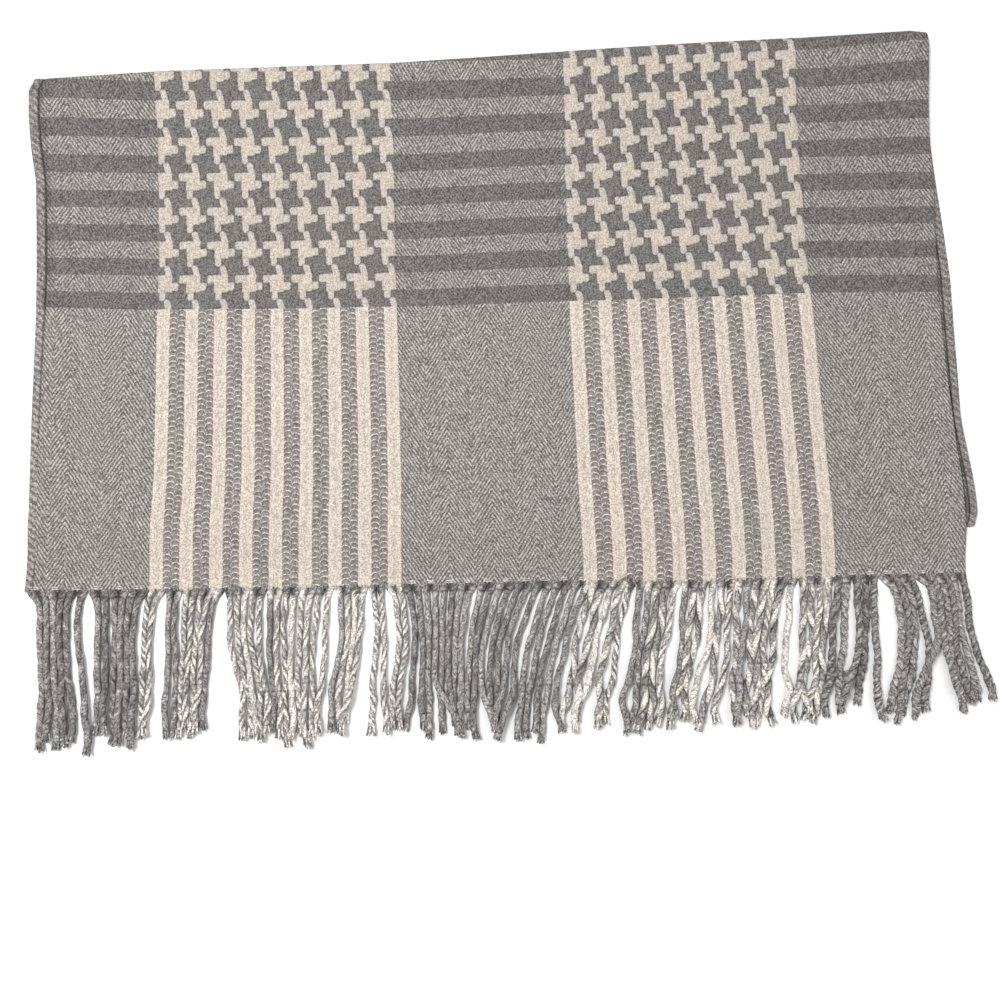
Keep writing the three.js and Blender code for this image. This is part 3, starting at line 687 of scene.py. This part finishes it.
def under_cloth():
    """The three hidden layers as one folded strip of cloth with rounded edges."""
    follows, offset, height, normal_y, normal_z, layer = under_rows()[..., None]
    near = UNDER_SIDE_PLACES / UNDER_WIDTH
    shares = np.concatenate([near, np.linspace(0.02, 0.98, UNDER_COLUMNS), 1 - near[::-1]])
    rows, columns = len(layer), len(shares)
    share = np.repeat(shares[None], rows, axis=0)

    x = -UNDER_HALF_WIDTH + share * 2 * UNDER_HALF_WIDTH
    for _ in range(4):
        bottom = hem_at(x) + UNDER_FOLD_ABOVE_HEM
        top = fold_at(x)
        y = bottom + follows * (top - bottom) + offset
        up = np.clip((y - bottom) / (top - TOP_FOLD_RADIUS - bottom), 0, 1)
        corner = np.clip(UNDER_CORNER_RADIUS - (y - bottom), 0, UNDER_CORNER_RADIUS)
        inset = UNDER_CORNER_RADIUS - np.sqrt(UNDER_CORNER_RADIUS**2 - corner**2)
        left = np.interp(up, UNDER_SIDES["up"], UNDER_SIDES["left"]) + inset
        right = under_right(up, layer, y) - inset
        x = left + share * (right - left)
    edge = np.minimum(share, 1 - share) * UNDER_WIDTH
    half = WALL / 2 * (0.45 + 0.55 * np.sqrt(np.clip(edge / WALL, 0, 1)))
    middle = np.stack([x, y, height + 0 * x], axis=-1)
    outward = np.stack([0 * x, normal_y * half, normal_z * half], axis=-1)
    points = np.concatenate([middle + outward, middle - outward]).reshape(-1, 3)
    faces = shell_faces(rows, columns, list(range(rows)), list(range(columns)))

    centre = middle[:, columns // 2, 1:]
    path = np.concatenate([[0], np.cumsum(np.linalg.norm(np.diff(centre, axis=0), axis=1))])
    path -= UNDER_STRIPES_END
    along = np.tile(np.repeat(path / np.where(path < 0, TWILL_PERIOD, ROW), columns), 2)
    across = np.tile((share * LAST_CELL).ravel(), 2)
    strip = np.minimum(across, LAST_CELL - across)
    return woven_piece("under_cloth", points, faces, across, along, strip)


def cord_table():
    """Every cord from the left: its evenly spaced root and what its row of BUNCHES says."""
    counts = BUNCHES["cords"].astype(int)
    cords = {name: np.repeat(column, counts) for name, column in BUNCHES.items()}
    place = np.concatenate([np.arange(count) for count in counts])
    share = place / np.maximum(cords["cords"] - 1, 1)
    for line in ("upper", "lower"):
        first, last = cords[line + "_first"], cords[line + "_last"]
        cords[line] = first + share * (last - first)
    spread = LENGTH_TURN_PER_CORD * place + LENGTH_TURN_PER_BUNCH * cords["cords"]
    cords["reach"] += CORD_LENGTH_SPREAD * np.sin(spread)
    cords["root"] = np.concatenate([
        np.linspace(s["start"], s["end"], 2 * len(s["kinds"]) + 1)[1::2] for s in FRINGE_SECTIONS
    ])
    return cords


def stray_at(index, below, reach):
    """How far a cord has strayed sideways: 0 above its start, all of it just past the tip."""
    row = np.flatnonzero(STRAYS["cord"] == index)
    if not len(row):
        return 0 * below
    start = STRAYS["from_depth"][row[0]]
    return STRAYS["stray"][row[0]] * smooth(below, start, reach + STRAY_RUN_ON)


def cord_centreline(cord, index, waver, random):
    """Points along one cord: straight runs between its places, rounded at each bend, with a
    slight waver and every second cord riding a little higher."""
    hem = float(hem_at(cord["root"]))
    tip = hem - cord["reach"]
    y = np.linspace(hem + CORD_ENDS_PAST, tip + TUFT_LENGTH, int(cord["reach"] / RING_SPACING))
    below = hem - y
    neck = cord["root"] + cord["neck"] * (cord["upper"] - cord["root"])
    levels = [tip, LOWER_LINE, UPPER_LINE, hem - NECK_DEPTH, hem]
    places = [cord["lower"] + cord["drift"], cord["lower"], cord["upper"], neck, cord["root"]]
    rounding = np.clip(below / 2, 0, CORD_SMOOTHING)
    x = sum(np.interp(y + shift * rounding, levels, places) for shift in (-1, 0, 1)) / 3
    loose = smooth(below, *LOOSENS) * (1 + smooth(below, *LOOSENS_MORE))
    starts = random.uniform(0, 2 * math.pi, 3)
    quick = QUICK_SWAY_SHARE * np.sin(below / QUICK_SWAY_LENGTH + starts[1])
    x += SWAY * waver * loose * (np.sin(below / SWAY_LENGTH + starts[0]) + quick)
    stray = stray_at(index, below, cord["reach"])
    x += stray
    rest = CORD_FLOOR_GAP + CORD_RADIUS - 0.2
    z = ROOT_HEIGHT + (rest - ROOT_HEIGHT) * smooth(below, *LIES_DOWN)
    rise = RISE * (1 + np.sin(below / RISE_LENGTH + starts[2]))
    z += loose * (SECOND_CORD_LIFT * (index % 2) + rise)
    z += STRAY_LIFT * np.sqrt(np.clip(np.abs(stray) / STRAY_FULL_LIFT, 0, 1))
    if cord["crossing"]:
        away = np.clip(np.abs(below - cord["crossing"]) / CORD_CROSSING_HALF_LENGTH, 0, 1)
        z += CORD_CROSSING_LIFT * np.sqrt(np.cos(away * math.pi / 2))
    return np.stack([x, y, z], axis=-1), below


def directions(centre):
    """The heading of a path at each point, with the sideways and the upward direction there."""
    heading = np.gradient(centre, axis=0)
    heading /= np.linalg.norm(heading, axis=1)[:, None]
    sideways = np.stack([-heading[:, 1], heading[:, 0], 0 * heading[:, 0]], axis=-1)
    sideways /= np.linalg.norm(sideways, axis=1)[:, None]
    upward = np.cross(sideways, heading)
    return heading, sideways, upward * np.sign(upward[:, 2])[:, None]


def tube_faces(rings, around):
    """Faces of a closed tube: its sides ring by ring, then a fan to the one point at each end."""
    corner = np.arange(rings * around).reshape(rings, around)
    after = np.roll(corner, -1, axis=1)
    sides = np.stack([corner[:-1], after[:-1], after[1:], corner[1:]], axis=-1).reshape(-1, 4)
    first_end, last_end = rings * around, rings * around + 1
    caps = [[first_end, int(b), int(a)] for a, b in zip(corner[0], after[0])]
    caps += [[last_end, int(a), int(b)] for a, b in zip(corner[-1], after[-1])]
    return sides.tolist() + caps


def cord_mesh(cord, index, kind, pitch, section, random):
    """One twisted cord: a rounded two-lobed section turns as it is carried along the path. Its
    root is a flat fan of yarn as wide as its share of the hem and coloured like the cloth there."""
    centre, below = cord_centreline(cord, index, section["waver"], random)
    heading, sideways, upward = directions(centre)
    hand = 1 if index % 2 else -1
    turn_length = KINDS[kind]["turn"] * random.uniform(*TURN_SPREAD)
    down = below[:, None]
    uneven = TWIST_DRIFT * np.sin(down / TWIST_DRIFT_LENGTH + random.uniform(0, 6))
    twist = hand * (2 * math.pi * down / turn_length + uneven) + random.uniform(0, 2 * math.pi)
    around = np.arange(CORD_SIDES) / CORD_SIDES * 2 * math.pi
    hollow = KINDS[kind]["lobes"] * (1 - np.abs(np.cos(around)) ** 0.8)
    shaped = smooth(down, *TAKES_SHAPE)
    angle = shaped * twist + hand * around
    swell = 1 + SWELLING * smooth(down, *SWELLS) + BEAD * np.sin(down / BEAD_LENGTH + index)
    thick = CORD_RADIUS * KINDS[kind]["width"] * section["thick"] * swell
    root = pitch * ROOT_SHARE_OF_PITCH
    wide = root + shaped * (thick - root)
    tall = ROOT_HALF_THICKNESS + shaped * (thick - ROOT_HALF_THICKNESS)
    shape = 1 - shaped * hollow
    points = (
        centre[:, None]
        + sideways[:, None] * (np.cos(angle) * shape * wide)[..., None]
        + upward[:, None] * (np.sin(angle) * shape * tall)[..., None]
    )
    points[..., 2] = np.maximum(points[..., 2], LOWEST_YARN)
    ends = np.stack([centre[0], centre[-1] + heading[-1] * CORD_ENDS_PAST])
    faces = tube_faces(len(centre), CORD_SIDES)
    if hand < 0:
        faces = [face[::-1] for face in faces]

    fan = 1 - smooth(down, *TAKES_COLOUR)
    yarns = np.repeat(KINDS[kind]["yarns"], CORD_SIDES // YARNS)
    tones = np.repeat(random.uniform(0.15, 0.85, YARNS), CORD_SIDES // YARNS)
    tones += random.uniform(-0.3, 0.3)
    cream = yarns * (1 - fan) + fan * cream_at_hem(points[..., 0])
    # Depth sets painted shade between the lobes and in the dent where the roots of two cords part
    dent = smooth(hand * -np.cos(angle), *DENT_ROUND) * (1 - smooth(down, *DENT_ENDS))
    depth = (1 - shaped * hollow * GROOVE_SHADE) * (1 - DENT_SHADE * dent)
    weave = np.stack(np.broadcast_arrays(around / (2 * math.pi), down), axis=-1)
    return (
        np.concatenate([points.reshape(-1, 3), ends]), faces,
        np.concatenate([weave.reshape(-1, 2), [[0, below[0]], [0, below[-1]]]]),
        np.append(cream, 2 * [np.mean(yarns)]),
        np.append(tones + 0 * cream, [0.5, 0.5]),
        np.append(depth, [0.6, 0.4]),
    )


def cream_at_hem(x):
    """1 where the cloth at the hem is a cream stripe, 0 where it is grey."""
    edges = [SECTION_EDGES[name][0] for name in BLOCK_EDGES]
    across = np.interp(x, [HEM_LEFT, *edges, HEM_RIGHT], SECTION_STARTS)
    cell, block = cell_in_block(across)
    beside = np.abs(np.mod(cell + 1, STRIPE_REPEAT) - STRIPE_REPEAT / 2)
    return block * (beside < CREAM_HALF_WIDTH)


def yarn_tube(centre, sideways, upward, radius, sides, ends, weave, looks):
    """A round tube of yarn along a path. Its weave is the place round the cord and the places
    along it, its looks are cream, tone and depth, which sets its painted shade."""
    corners = np.arange(sides)[None, :, None] / sides * 2 * math.pi
    ring = np.cos(corners) * sideways[:, None] + np.sin(corners) * upward[:, None]
    points = np.concatenate([(centre[:, None] + ring * radius).reshape(-1, 3), ends])
    faces = [face[::-1] for face in tube_faces(len(centre), sides)]
    around, along = weave
    place = np.stack([along * 0 + around, along], axis=-1)
    return (points, faces, place, *(np.full(len(points), look) for look in looks))


def tuft_parts(cord, below, kind, random):
    """The loose yarn ends of one cord: round strands that leave the cord together, splay a
    little and end blunt."""
    heading, sideways, upward = (direction[-1] for direction in directions(cord))
    parts = []
    for strand in range(TUFT_STRANDS):
        turn = 2 * math.pi * (strand * STRAND_TURN + random.uniform(-0.05, 0.05))
        reach = CORD_RADIUS * math.sqrt((strand + 0.6) / TUFT_STRANDS)
        side = sideways * math.cos(turn) + upward * math.sin(turn)
        steps = STRAND_PLACES * (TUFT_LENGTH + STRAND_OVERLAP + random.uniform(-1.6, 1.6))
        start = cord[-1] - heading * STRAND_OVERLAP + side * reach * 0.85
        curl = sideways * random.uniform(-0.9, 0.9)
        spine = start + heading * steps[:, None]
        spine += side * (reach * 0.5 * STRAND_PLACES**1.4)[:, None]
        spine += curl * (STRAND_PLACES**2)[:, None]
        radius = random.uniform(0.6, 0.85) * STRAND_RADII
        spine[:, 2] = np.maximum(spine[:, 2], 0.3 + radius)
        along = np.append(np.repeat(below[-1] + steps, STRAND_SIDES), [0, 0])
        parts.append(yarn_tube(
            spine, sideways[None], upward[None], radius[:, None, None], STRAND_SIDES,
            [start, spine[-1] + heading * 0.3], (strand / 4, along),
            (KINDS[kind]["yarns"][strand % YARNS], random.uniform(0, 1), 0.8),
        ))
    return parts


def loose_ends():
    """Short weft ends that stand up at the hem: a round tube along a curve with two pulls."""
    share = np.linspace(0, 1, LOOSE_END_RINGS)[:, None]
    blends = ((1 - share) ** 3, 3 * share * (1 - share) ** 2, 3 * share**2 * (1 - share), share**3)
    along = np.append(np.repeat(share * LOOSE_END_WEAVE, LOOSE_END_SIDES), [0, LOOSE_END_WEAVE])
    parts = []
    for end in LOOSE_ENDS:
        places = [np.array([end[name + "_x"], end[name + "_y"]])
                  for name in ("from", "pull", "push", "to")]
        flat = sum(blend * place for blend, place in zip(blends, places))
        low = WALL + end["radius"] * 0.3
        height = low + (end["height"] - low) * np.sin(share * math.pi)
        centre = np.concatenate([flat, height], axis=1)
        _, sideways, upward = directions(centre)
        parts.append(yarn_tube(centre, sideways, upward, end["radius"], LOOSE_END_SIDES,
                               centre[[0, -1]], (0, along), (end["cream"], 0.3, 0.9)))
    return parts


def joined(parts):
    """Several meshes as one: their points in a row, and their faces counted on."""
    points, own_faces, *values = zip(*parts)
    faces, first = [], 0
    for some_points, some_faces in zip(points, own_faces):
        faces.extend([[corner + first for corner in face] for face in some_faces])
        first += len(some_points)
    return np.concatenate(points), faces, *(np.concatenate(column) for column in values)


def fringe():
    """One piece for each stretch of the fringe. Loose weft ends go with the stretch they lie in."""
    cords = cord_table()
    random = np.random.default_rng(11)
    ends = loose_ends()
    pieces, index = [], 0
    for section in FRINGE_SECTIONS:
        pitch = (section["end"] - section["start"]) / len(section["kinds"])
        parts = [part for part, end in zip(ends, LOOSE_ENDS)
                 if section["start"] <= end["from_x"] < section["end"]]
        for kind in section["kinds"]:
            cord = {name: float(column[index]) for name, column in cords.items()}
            part = cord_mesh(cord, index, kind, pitch, section, random)
            parts.append(part)
            rings = part[0][:-2].reshape(-1, CORD_SIDES, 3).mean(axis=1)
            parts.extend(tuft_parts(rings, part[2][:-2:CORD_SIDES, 1], kind, random))
            index += 1
        points, faces, weave, cream, tone, depth = joined(parts)
        piece = mesh_piece(section["name"] + "_cords", points, faces, weave,
                           {"cream": cream, "tone": tone, "depth": depth}, tube=True)
        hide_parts(section["name"])
        pieces.append(piece)
    return pieces


def linear(red, green, blue):
    """A colour given in the screen's 0 to 255 steps, as the shader's linear values."""
    share = np.array([red, green, blue]) / 255
    value = np.where(share <= 0.04045, share / 12.92, ((share + 0.055) / 1.055) ** 2.4)
    return (*value.tolist(), 1)


class Value:
    """A node's output as a number in a formula. Each operator adds the node it needs. The size of
    a value leaves out its sign, its part is what lies above its whole number."""

    def __init__(self, tree, socket=None):
        self.tree = tree
        self.socket = socket

    def node(self, kind, settings, sockets, output=0):
        """A node of one kind: its settings first, then the values or links of its sockets."""
        node = self.tree.nodes.new(kind)
        for name, setting in settings.items():
            setattr(node, name, setting)
        for name, value in sockets.items():
            if isinstance(value, Value):
                self.tree.links.new(value.socket, node.inputs[name])
            else:
                node.inputs[name].default_value = value
        return Value(self.tree, node.outputs[output])

    def maths(self, operation, *others, kind="ShaderNodeMath", output=0):
        """A node that works on the value and the others in turn."""
        sockets = dict(enumerate((self, *others)))
        return self.node(kind, {"operation": operation}, sockets, output)

    vector_maths = partialmethod(maths, kind="ShaderNodeVectorMath")
    __add__ = __radd__ = partialmethod(maths, "ADD")
    __mul__ = __rmul__ = partialmethod(maths, "MULTIPLY")
    __sub__ = partialmethod(maths, "SUBTRACT")
    __truediv__ = partialmethod(maths, "DIVIDE")
    __gt__ = partialmethod(maths, "GREATER_THAN")
    __lt__ = partialmethod(maths, "LESS_THAN")
    size = partialmethod(maths, "ABSOLUTE")
    part = partialmethod(maths, "FRACT")

    def __rsub__(self, other):
        return self * -1 + other

    def vector(self, *parts):
        """A vector from its parts."""
        return self.node("ShaderNodeCombineXYZ", {}, dict(enumerate(parts)))

    def parts(self):
        """The first part of a vector. Its other outputs are the second and the third."""
        return self.node("ShaderNodeSeparateXYZ", {}, {0: self})

    def other(self, output):
        """Another output of the same node."""
        return Value(self.tree, self.socket.node.outputs[output])

    def wave(self):
        """A cosine that starts high, from 0 to 1, once for each whole step of the value."""
        return (self * (2 * math.pi)).maths("COSINE") * 0.5 + 0.5

    def dim(self, colour):
        """The colour times the value."""
        return self.node("ShaderNodeMix", {"data_type": "RGBA", "blend_type": "MULTIPLY"},
                         {0: 1.0, 6: colour, 7: self}, output=2)

    def rise(self, low, high):
        """From 0 at low to 1 at high, level at both ends."""
        return self.node("ShaderNodeMapRange", {"interpolation_type": "SMOOTHSTEP"},
                         {"Value": self, "From Min": low, "From Max": high})

    def blend(self, first, second):
        """The first colour where the value is 0, the second where it is 1."""
        return self.node("ShaderNodeMix", {"data_type": "RGBA"},
                         {0: self, 6: first, 7: second}, output=2)


def rounded_box(place, centre_x, centre_y, half_x, half_y, corner):
    """Distance outside a box with rounded corners, repeated every four cells both ways."""
    near = place.vector_maths("SUBTRACT", (centre_x, centre_y, 0))
    near = near.vector_maths("WRAP", (2, 2, 1), (-2, -2, -1)).vector_maths("ABSOLUTE")
    beyond = near.vector_maths("SUBTRACT", (half_x - corner, half_y - corner, 1))
    length = beyond.vector_maths("MAXIMUM", (0, 0, 0)).vector_maths("LENGTH", output=1)
    axes = beyond.parts()
    deeper = axes.maths("MAXIMUM", axes.other(1))
    return length + deeper.maths("MINIMUM", 0) - corner


def new_material(name, roughness=0.95, sheen=0.05):
    """A material with one wool surface, and a start for its formulas."""
    material = bpy.data.materials.new(name)
    material.use_nodes = True
    surface = material.node_tree.nodes["Principled BSDF"]
    for label, value in (("Roughness", roughness), ("Specular IOR Level", 0.2),
                         ("Sheen Weight", sheen), ("Sheen Roughness", 0.6)):
        surface.inputs[label].default_value = value
    return material, surface, Value(material.node_tree)


def finish_material(surface, start, colour, height, strength):
    """Put the colour and the bump of the height into the surface."""
    bump = start.node("ShaderNodeBump", {},
                      {"Strength": strength, "Distance": 0.6 * MM, "Height": height})
    start.tree.links.new(colour.socket, surface.inputs["Base Color"])
    start.tree.links.new(bump.socket, surface.inputs["Normal"])


def noise_at(start, scale, stretch=(1, 1, 1)):
    """Noise from 0 to 1 on the object's own coordinates."""
    place = start.node("ShaderNodeTexCoord", {}, {}, output=3).vector_maths("MULTIPLY", stretch)
    return start.node("ShaderNodeTexNoise", {}, {"Vector": place, "Scale": scale, "Detail": 2.0})


def carried(start, *names):
    """The place in the weave, across and along, and the named values that the mesh carries."""
    across = start.node("ShaderNodeUVMap", {"uv_map": "weave"}, {}).parts()
    values = [start.node("ShaderNodeAttribute", {"attribute_name": name}, {}, output=2)
              for name in names]
    return across, across.other(1), *values


# Yarn colours, with painted light and shade among them
GREY_DARK = linear(105, 100, 97)
GREY_LIGHT = linear(166, 160, 156)
BAND_DARK = linear(95, 90, 88)
BAND_LIGHT = linear(119, 114, 112)
CREAM = linear(205, 194, 181)
CREAM_SHADE = linear(188, 176, 161)
FIGURE_CREAM = linear(186, 175, 162)
FIGURE_WHITE = linear(183, 175, 168)
# Lit and shaded copies of the pebbles' grey, as painted light and shade
PEBBLE_SHADED = linear(108, 102, 98)
PEBBLE_LIT = linear(149, 141, 137)
ARC = linear(202, 196, 192)
CHEQUER_GREY = linear(110, 105, 102)
CORD_DARK = linear(103, 99, 97)
CORD_LIGHT = linear(168, 163, 160)
CORD_CREAM = linear(224, 217, 208)
# Painted shade for grooves, outlines, dents between cords and cord roots, then a painted shadow
# line along an edge
PAINTED_SHADE = linear(54, 50, 48)
PAINTED_EDGE_SHADOW = linear(34, 30, 28)

# Houndstooth figure as rounded boxes in cells: middle, half width and height, corner radius
BODY = (2, 2, 1.02, 1.05, 0.15)
UPPER_ARM = (2.36, 0.6, 0.48, 0.76, 0.4)
LOWER_ARM = (1.52, 3.33, 0.46, 0.68, 0.36)
LEFT_ARM = (0.68, 1.44, 0.72, 0.48, 0.3)
RIGHT_ARM = (3.26, 2.41, 0.66, 0.48, 0.3)


def woven_material():
    """The woven cloth by place in the weave. Below the first dark band the place along counts
    twill periods, above it rows."""
    material, surface, start = new_material("woven_wool")
    across, along, turns, strip, cords = carried(start, "turns", "strip", "cords")
    fibre = noise_at(start, 880)
    streak = noise_at(start, 620, (1.3, 0.3, 1))
    mottle = noise_at(start, 260)
    wobble = noise_at(start, 150) - 0.5

    chequer = along > 0
    cell = across - BLOCK_ONE - (across > BETWEEN_BLOCKS) * (BLOCK_TWO - BLOCK_ONE)
    block = (cell > 0) * (cell < BLOCK_CELLS)
    dark_band = chequer * (1 - ((along / (2 * ROWS_PER_BAND)).part() > 0.5))

    # Herringbone: light lines on grey that turn at the turning points
    twill = along.maths("MINIMUM", 0) + along.maths("MAXIMUM", 0) * TWILL_PERIODS_PER_ROW
    line = (twill - turns + wobble * 0.35).wave().rise(0.15, 0.75)
    pick = (twill * 4).wave()
    line = line * (0.8 + 0.2 * pick) * (0.55 + mottle * 0.9) * (1 - chequer * 0.12)
    plain = line.blend(dark_band.blend(GREY_DARK, BAND_DARK),
                       dark_band.blend(GREY_LIGHT, BAND_LIGHT))

    # Stripes: cream with a faint middle line, then pebbles, each in painted shade under a thin
    # light arc
    beside = (((cell + 1) / 4).part() - 0.5) * 4
    away = beside.size() + (along * 2).wave() * 0.05
    inside = 1 - (away > CREAM_HALF_WIDTH)
    middle_line = 1 - away.rise(0.05, 0.3)
    rim = away.rise(CREAM_HALF_WIDTH - 0.2, CREAM_HALF_WIDTH)
    cream = (middle_line * 0.3 + rim * 0.5).blend(CREAM, CREAM_SHADE)
    sideways = (away - CREAM_HALF_WIDTH) / (2 - CREAM_HALF_WIDTH) - 0.5
    square = sideways * sideways
    arch = along + (beside > 0) * 0.5 + square * 0.35 + square * square * 5.6 + wobble * 0.25
    under_arc = arch.part()
    arc = 1 - ((under_arc - 0.5).size() - 0.5).size().rise(0.04, 0.14)
    broken = mottle.rise(0.3, 0.6) * 0.6 + 0.4
    # Painted shade on each pebble: darkest just under its arc, lighter further down
    pebble = (under_arc + wobble + (fibre - 0.5) * 1.5).blend(PEBBLE_LIT, PEBBLE_SHADED)
    pebble = (arc * broken).blend(pebble, ARC)
    stripes = inside.blend(pebble, cream)

    # Chequer: a light body with four arms on grey, the two along the warp moved or slanting
    lowest = (along < 2) * 0.16
    right = cell + 1 + wobble * 0.12
    lean = ((((right - 2) / 4 + 0.5).part()) - 0.5) * 0.14
    down = 1 - along + lean + wobble * 0.12
    straight = start.vector(right, down)
    shifted = start.vector(right - lowest, down)
    slant = (((down - UPPER_ARM[1]) / 4 + 0.5).part() - 0.5) * 1.2
    slanting = start.vector(right - lowest - slant, down)
    figure = body = rounded_box(straight, *BODY)
    for place, arm in ((slanting, UPPER_ARM), (shifted, LOWER_ARM),
                       (straight, LEFT_ARM), (straight, RIGHT_ARM)):
        figure = figure.maths("MINIMUM", rounded_box(place, *arm))
    whiter = body.rise(-0.3, 0.25)
    # Painted shade along the outline of the figure
    outline_shade = 1 - figure.size().rise(0.0, 0.16)
    in_figure = 1 - figure.rise(-0.05, 0.06)
    houndstooth = in_figure.blend(CHEQUER_GREY, whiter.blend(FIGURE_CREAM, FIGURE_WHITE))
    houndstooth = (outline_shade * 0.34).blend(houndstooth, PAINTED_SHADE)

    colour = block.blend(plain, chequer.blend(stripes, houndstooth))

    # Selvedge strip with steep fine strokes, and the groove beside it in painted shade
    stroke = (twill / 1.3 + across * 0.8 + wobble).wave().rise(0.2, 0.8)
    strip_light = (stroke * 0.7 + 0.15) * (1 - chequer * 0.25 - dark_band * 0.2)
    strip_colour = strip_light.blend(GREY_DARK, GREY_LIGHT)
    colour = (strip > STRIP_WIDTH).blend(strip_colour, colour)
    groove = 1 - (strip - STRIP_WIDTH).size().rise(0.04, 0.22)
    deep = along.rise(-34, -14) * 0.65 + (1 - along.rise(-50, -42)) * 0.5 + chequer * 0.2
    colour = (groove * deep).blend(colour, PAINTED_SHADE)
    # Painted shadow beside the groove, on the side away from the edge
    shadow_beside_groove = (strip > STRIP_WIDTH) * (1 - (strip - STRIP_WIDTH).rise(0, 1.4))
    colour = (shadow_beside_groove * chequer * 0.22).blend(colour, PAINTED_SHADE)

    # Last picks at the hem: short light dashes where two pairs of cords part
    parted = 1 - ((cords / 2).part() - 0.5).size().rise(0.13, 0.25)
    above_hem = along + TWILL_PERIODS + wobble * 0.4
    picks = (above_hem > 0.3) * (above_hem < 1.0)
    dash = picks * ((above_hem - 0.45) / 0.38).wave().rise(0.45, 0.8) * parted
    colour = (dash * (1 - block) * 0.8).blend(colour, ARC)

    # Grain of single fibres, then a painted shadow line where the layer underneath peeks out
    pale = block * (inside + chequer * (in_figure - inside))
    grain = (0.75 * fibre + 0.25 * streak).rise(0.35, 0.65) - 0.5
    colour = (1 + grain * (1.05 - pale * 0.4)).dim(colour)
    peeks = along.rise(-45, -39) * (1 - along.rise(-18, -9))
    painted_edge_shadow = (1 - (LAST_CELL - strip).rise(0.08, 0.2)) * peeks
    colour = painted_edge_shadow.blend(colour, PAINTED_EDGE_SHADOW)

    plain_height = line * 0.35 + pick * 0.1
    stripe_height = arc * 0.4 + (cell * 8).wave() * 0.06
    chequer_height = figure.size().maths("MINIMUM", 0.3) * 2.2
    block_height = stripe_height + chequer * (chequer_height - stripe_height)
    height = plain_height + block * (block_height - plain_height) + fibre * 0.7
    finish_material(surface, start, colour, height, 0.5)
    return material


def cord_material():
    """Twisted yarn: each has its own tone, in painted shade where two meet, with fine slanting
    lines.
    """
    material, surface, start = new_material("twisted_yarn")
    around, along, cream, tone, depth = carried(start, "cream", "tone", "depth")
    fibre = noise_at(start, 720)
    drift = noise_at(start, 130) - 0.5
    fleck = start.node("ShaderNodeTexNoise", {},
                       {"Vector": start.vector(around * 14, along * 0.5), "Scale": 1.0})
    yarn = (around * YARNS + along / 1.9).wave()
    grey = (tone + drift).rise(-0.3, 1.3).blend(CORD_DARK, CORD_LIGHT)
    grey = cream.rise(0.1, 0.5).blend(grey, CORD_LIGHT)
    fade = noise_at(start, 85).rise(0.3, 0.6) * 0.5 + 0.5
    colour = ((cream + cream * drift * 3) * fade).rise(0.15, 0.85).blend(grey, CORD_CREAM)
    # Painted shade in the grooves between lobes and in the dents between roots
    shade = (1 - depth.rise(0.0, 0.9)) * 0.8
    colour = shade.blend(colour, PAINTED_SHADE)
    colour = (1 + (fleck.rise(0.36, 0.62) - 0.5) * (1.1 - cream * 0.6)).dim(colour)
    colour = (0.68 + fibre.rise(0.36, 0.64) * 0.68).dim(colour)
    # Painted shade at the roots, where the cords leave the hem
    root = 1 - along.rise(0, 5)
    colour = (root * 0.3).blend(colour, PAINTED_SHADE)
    finish_material(surface, start, colour, yarn * 0.25 + fibre * 0.8, 0.5)
    return material


def floor():
    """A plain pale floor."""
    mesh = bpy.data.meshes.new("floor")
    size = 4
    mesh.from_pydata([(-size, -size, 0), (size, -size, 0), (size, size, 0), (-size, size, 0)],
                     [], [(0, 1, 2, 3)])
    material, surface, _ = new_material("pale_floor", roughness=0.9, sheen=0)
    surface.inputs["Base Color"].default_value = (0.9, 0.9, 0.9, 1)
    mesh.materials.append(material)
    placed("floor", mesh)


def soft_light(name, place, size, power):
    """An area light that points at the middle of the shawl."""
    light = bpy.data.lights.new(name, "AREA")
    light.shape = "DISK"
    light.size = size
    light.energy = power
    aim = -np.array(place) / np.linalg.norm(place)
    placed(name, light, place,
           (math.acos(-aim[2]), 0, math.atan2(aim[1], aim[0]) - math.pi / 2))


# Camera: lens and film in millimetres, height above the floor in metres, tilt in degrees
LENS = 39
FILM_WIDTH = 36
CAMERA_HEIGHT = 0.8053
CAMERA_TILT = 5


def camera():
    """The photograph's view: nearly straight down, tilted five degrees towards the fold."""
    view = bpy.data.cameras.new("camera")
    view.lens = LENS
    view.sensor_width = FILM_WIDTH
    bpy.context.scene.camera = placed(
        "camera", view, (SHIFT[0] * MM, SHIFT[1] * MM, CAMERA_HEIGHT),
        (math.radians(CAMERA_TILT), 0, 0))


cloth = top_cloth()
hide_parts("top_panel")
layers = under_cloth()
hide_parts("under_layers")
cords = fringe()

wool = woven_material()
yarn = cord_material()
for piece in (cloth, layers):
    piece.data.materials.append(wool)
for piece in cords:
    piece.data.materials.append(yarn)

floor()
soft_light("key_light", place=(-0.5, 0.25, 1.5), size=0.5, power=22)
soft_light("fill_light", place=(0.9, -0.5, 1.5), size=1.6, power=9)
world = bpy.data.worlds.new("studio")
world.use_nodes = True
world.node_tree.nodes["Background"].inputs["Color"].default_value = (1, 1, 1, 1)
world.node_tree.nodes["Background"].inputs["Strength"].default_value = 0.4
bpy.context.scene.world = world
bpy.context.scene.view_settings.view_transform = "Standard"
camera()
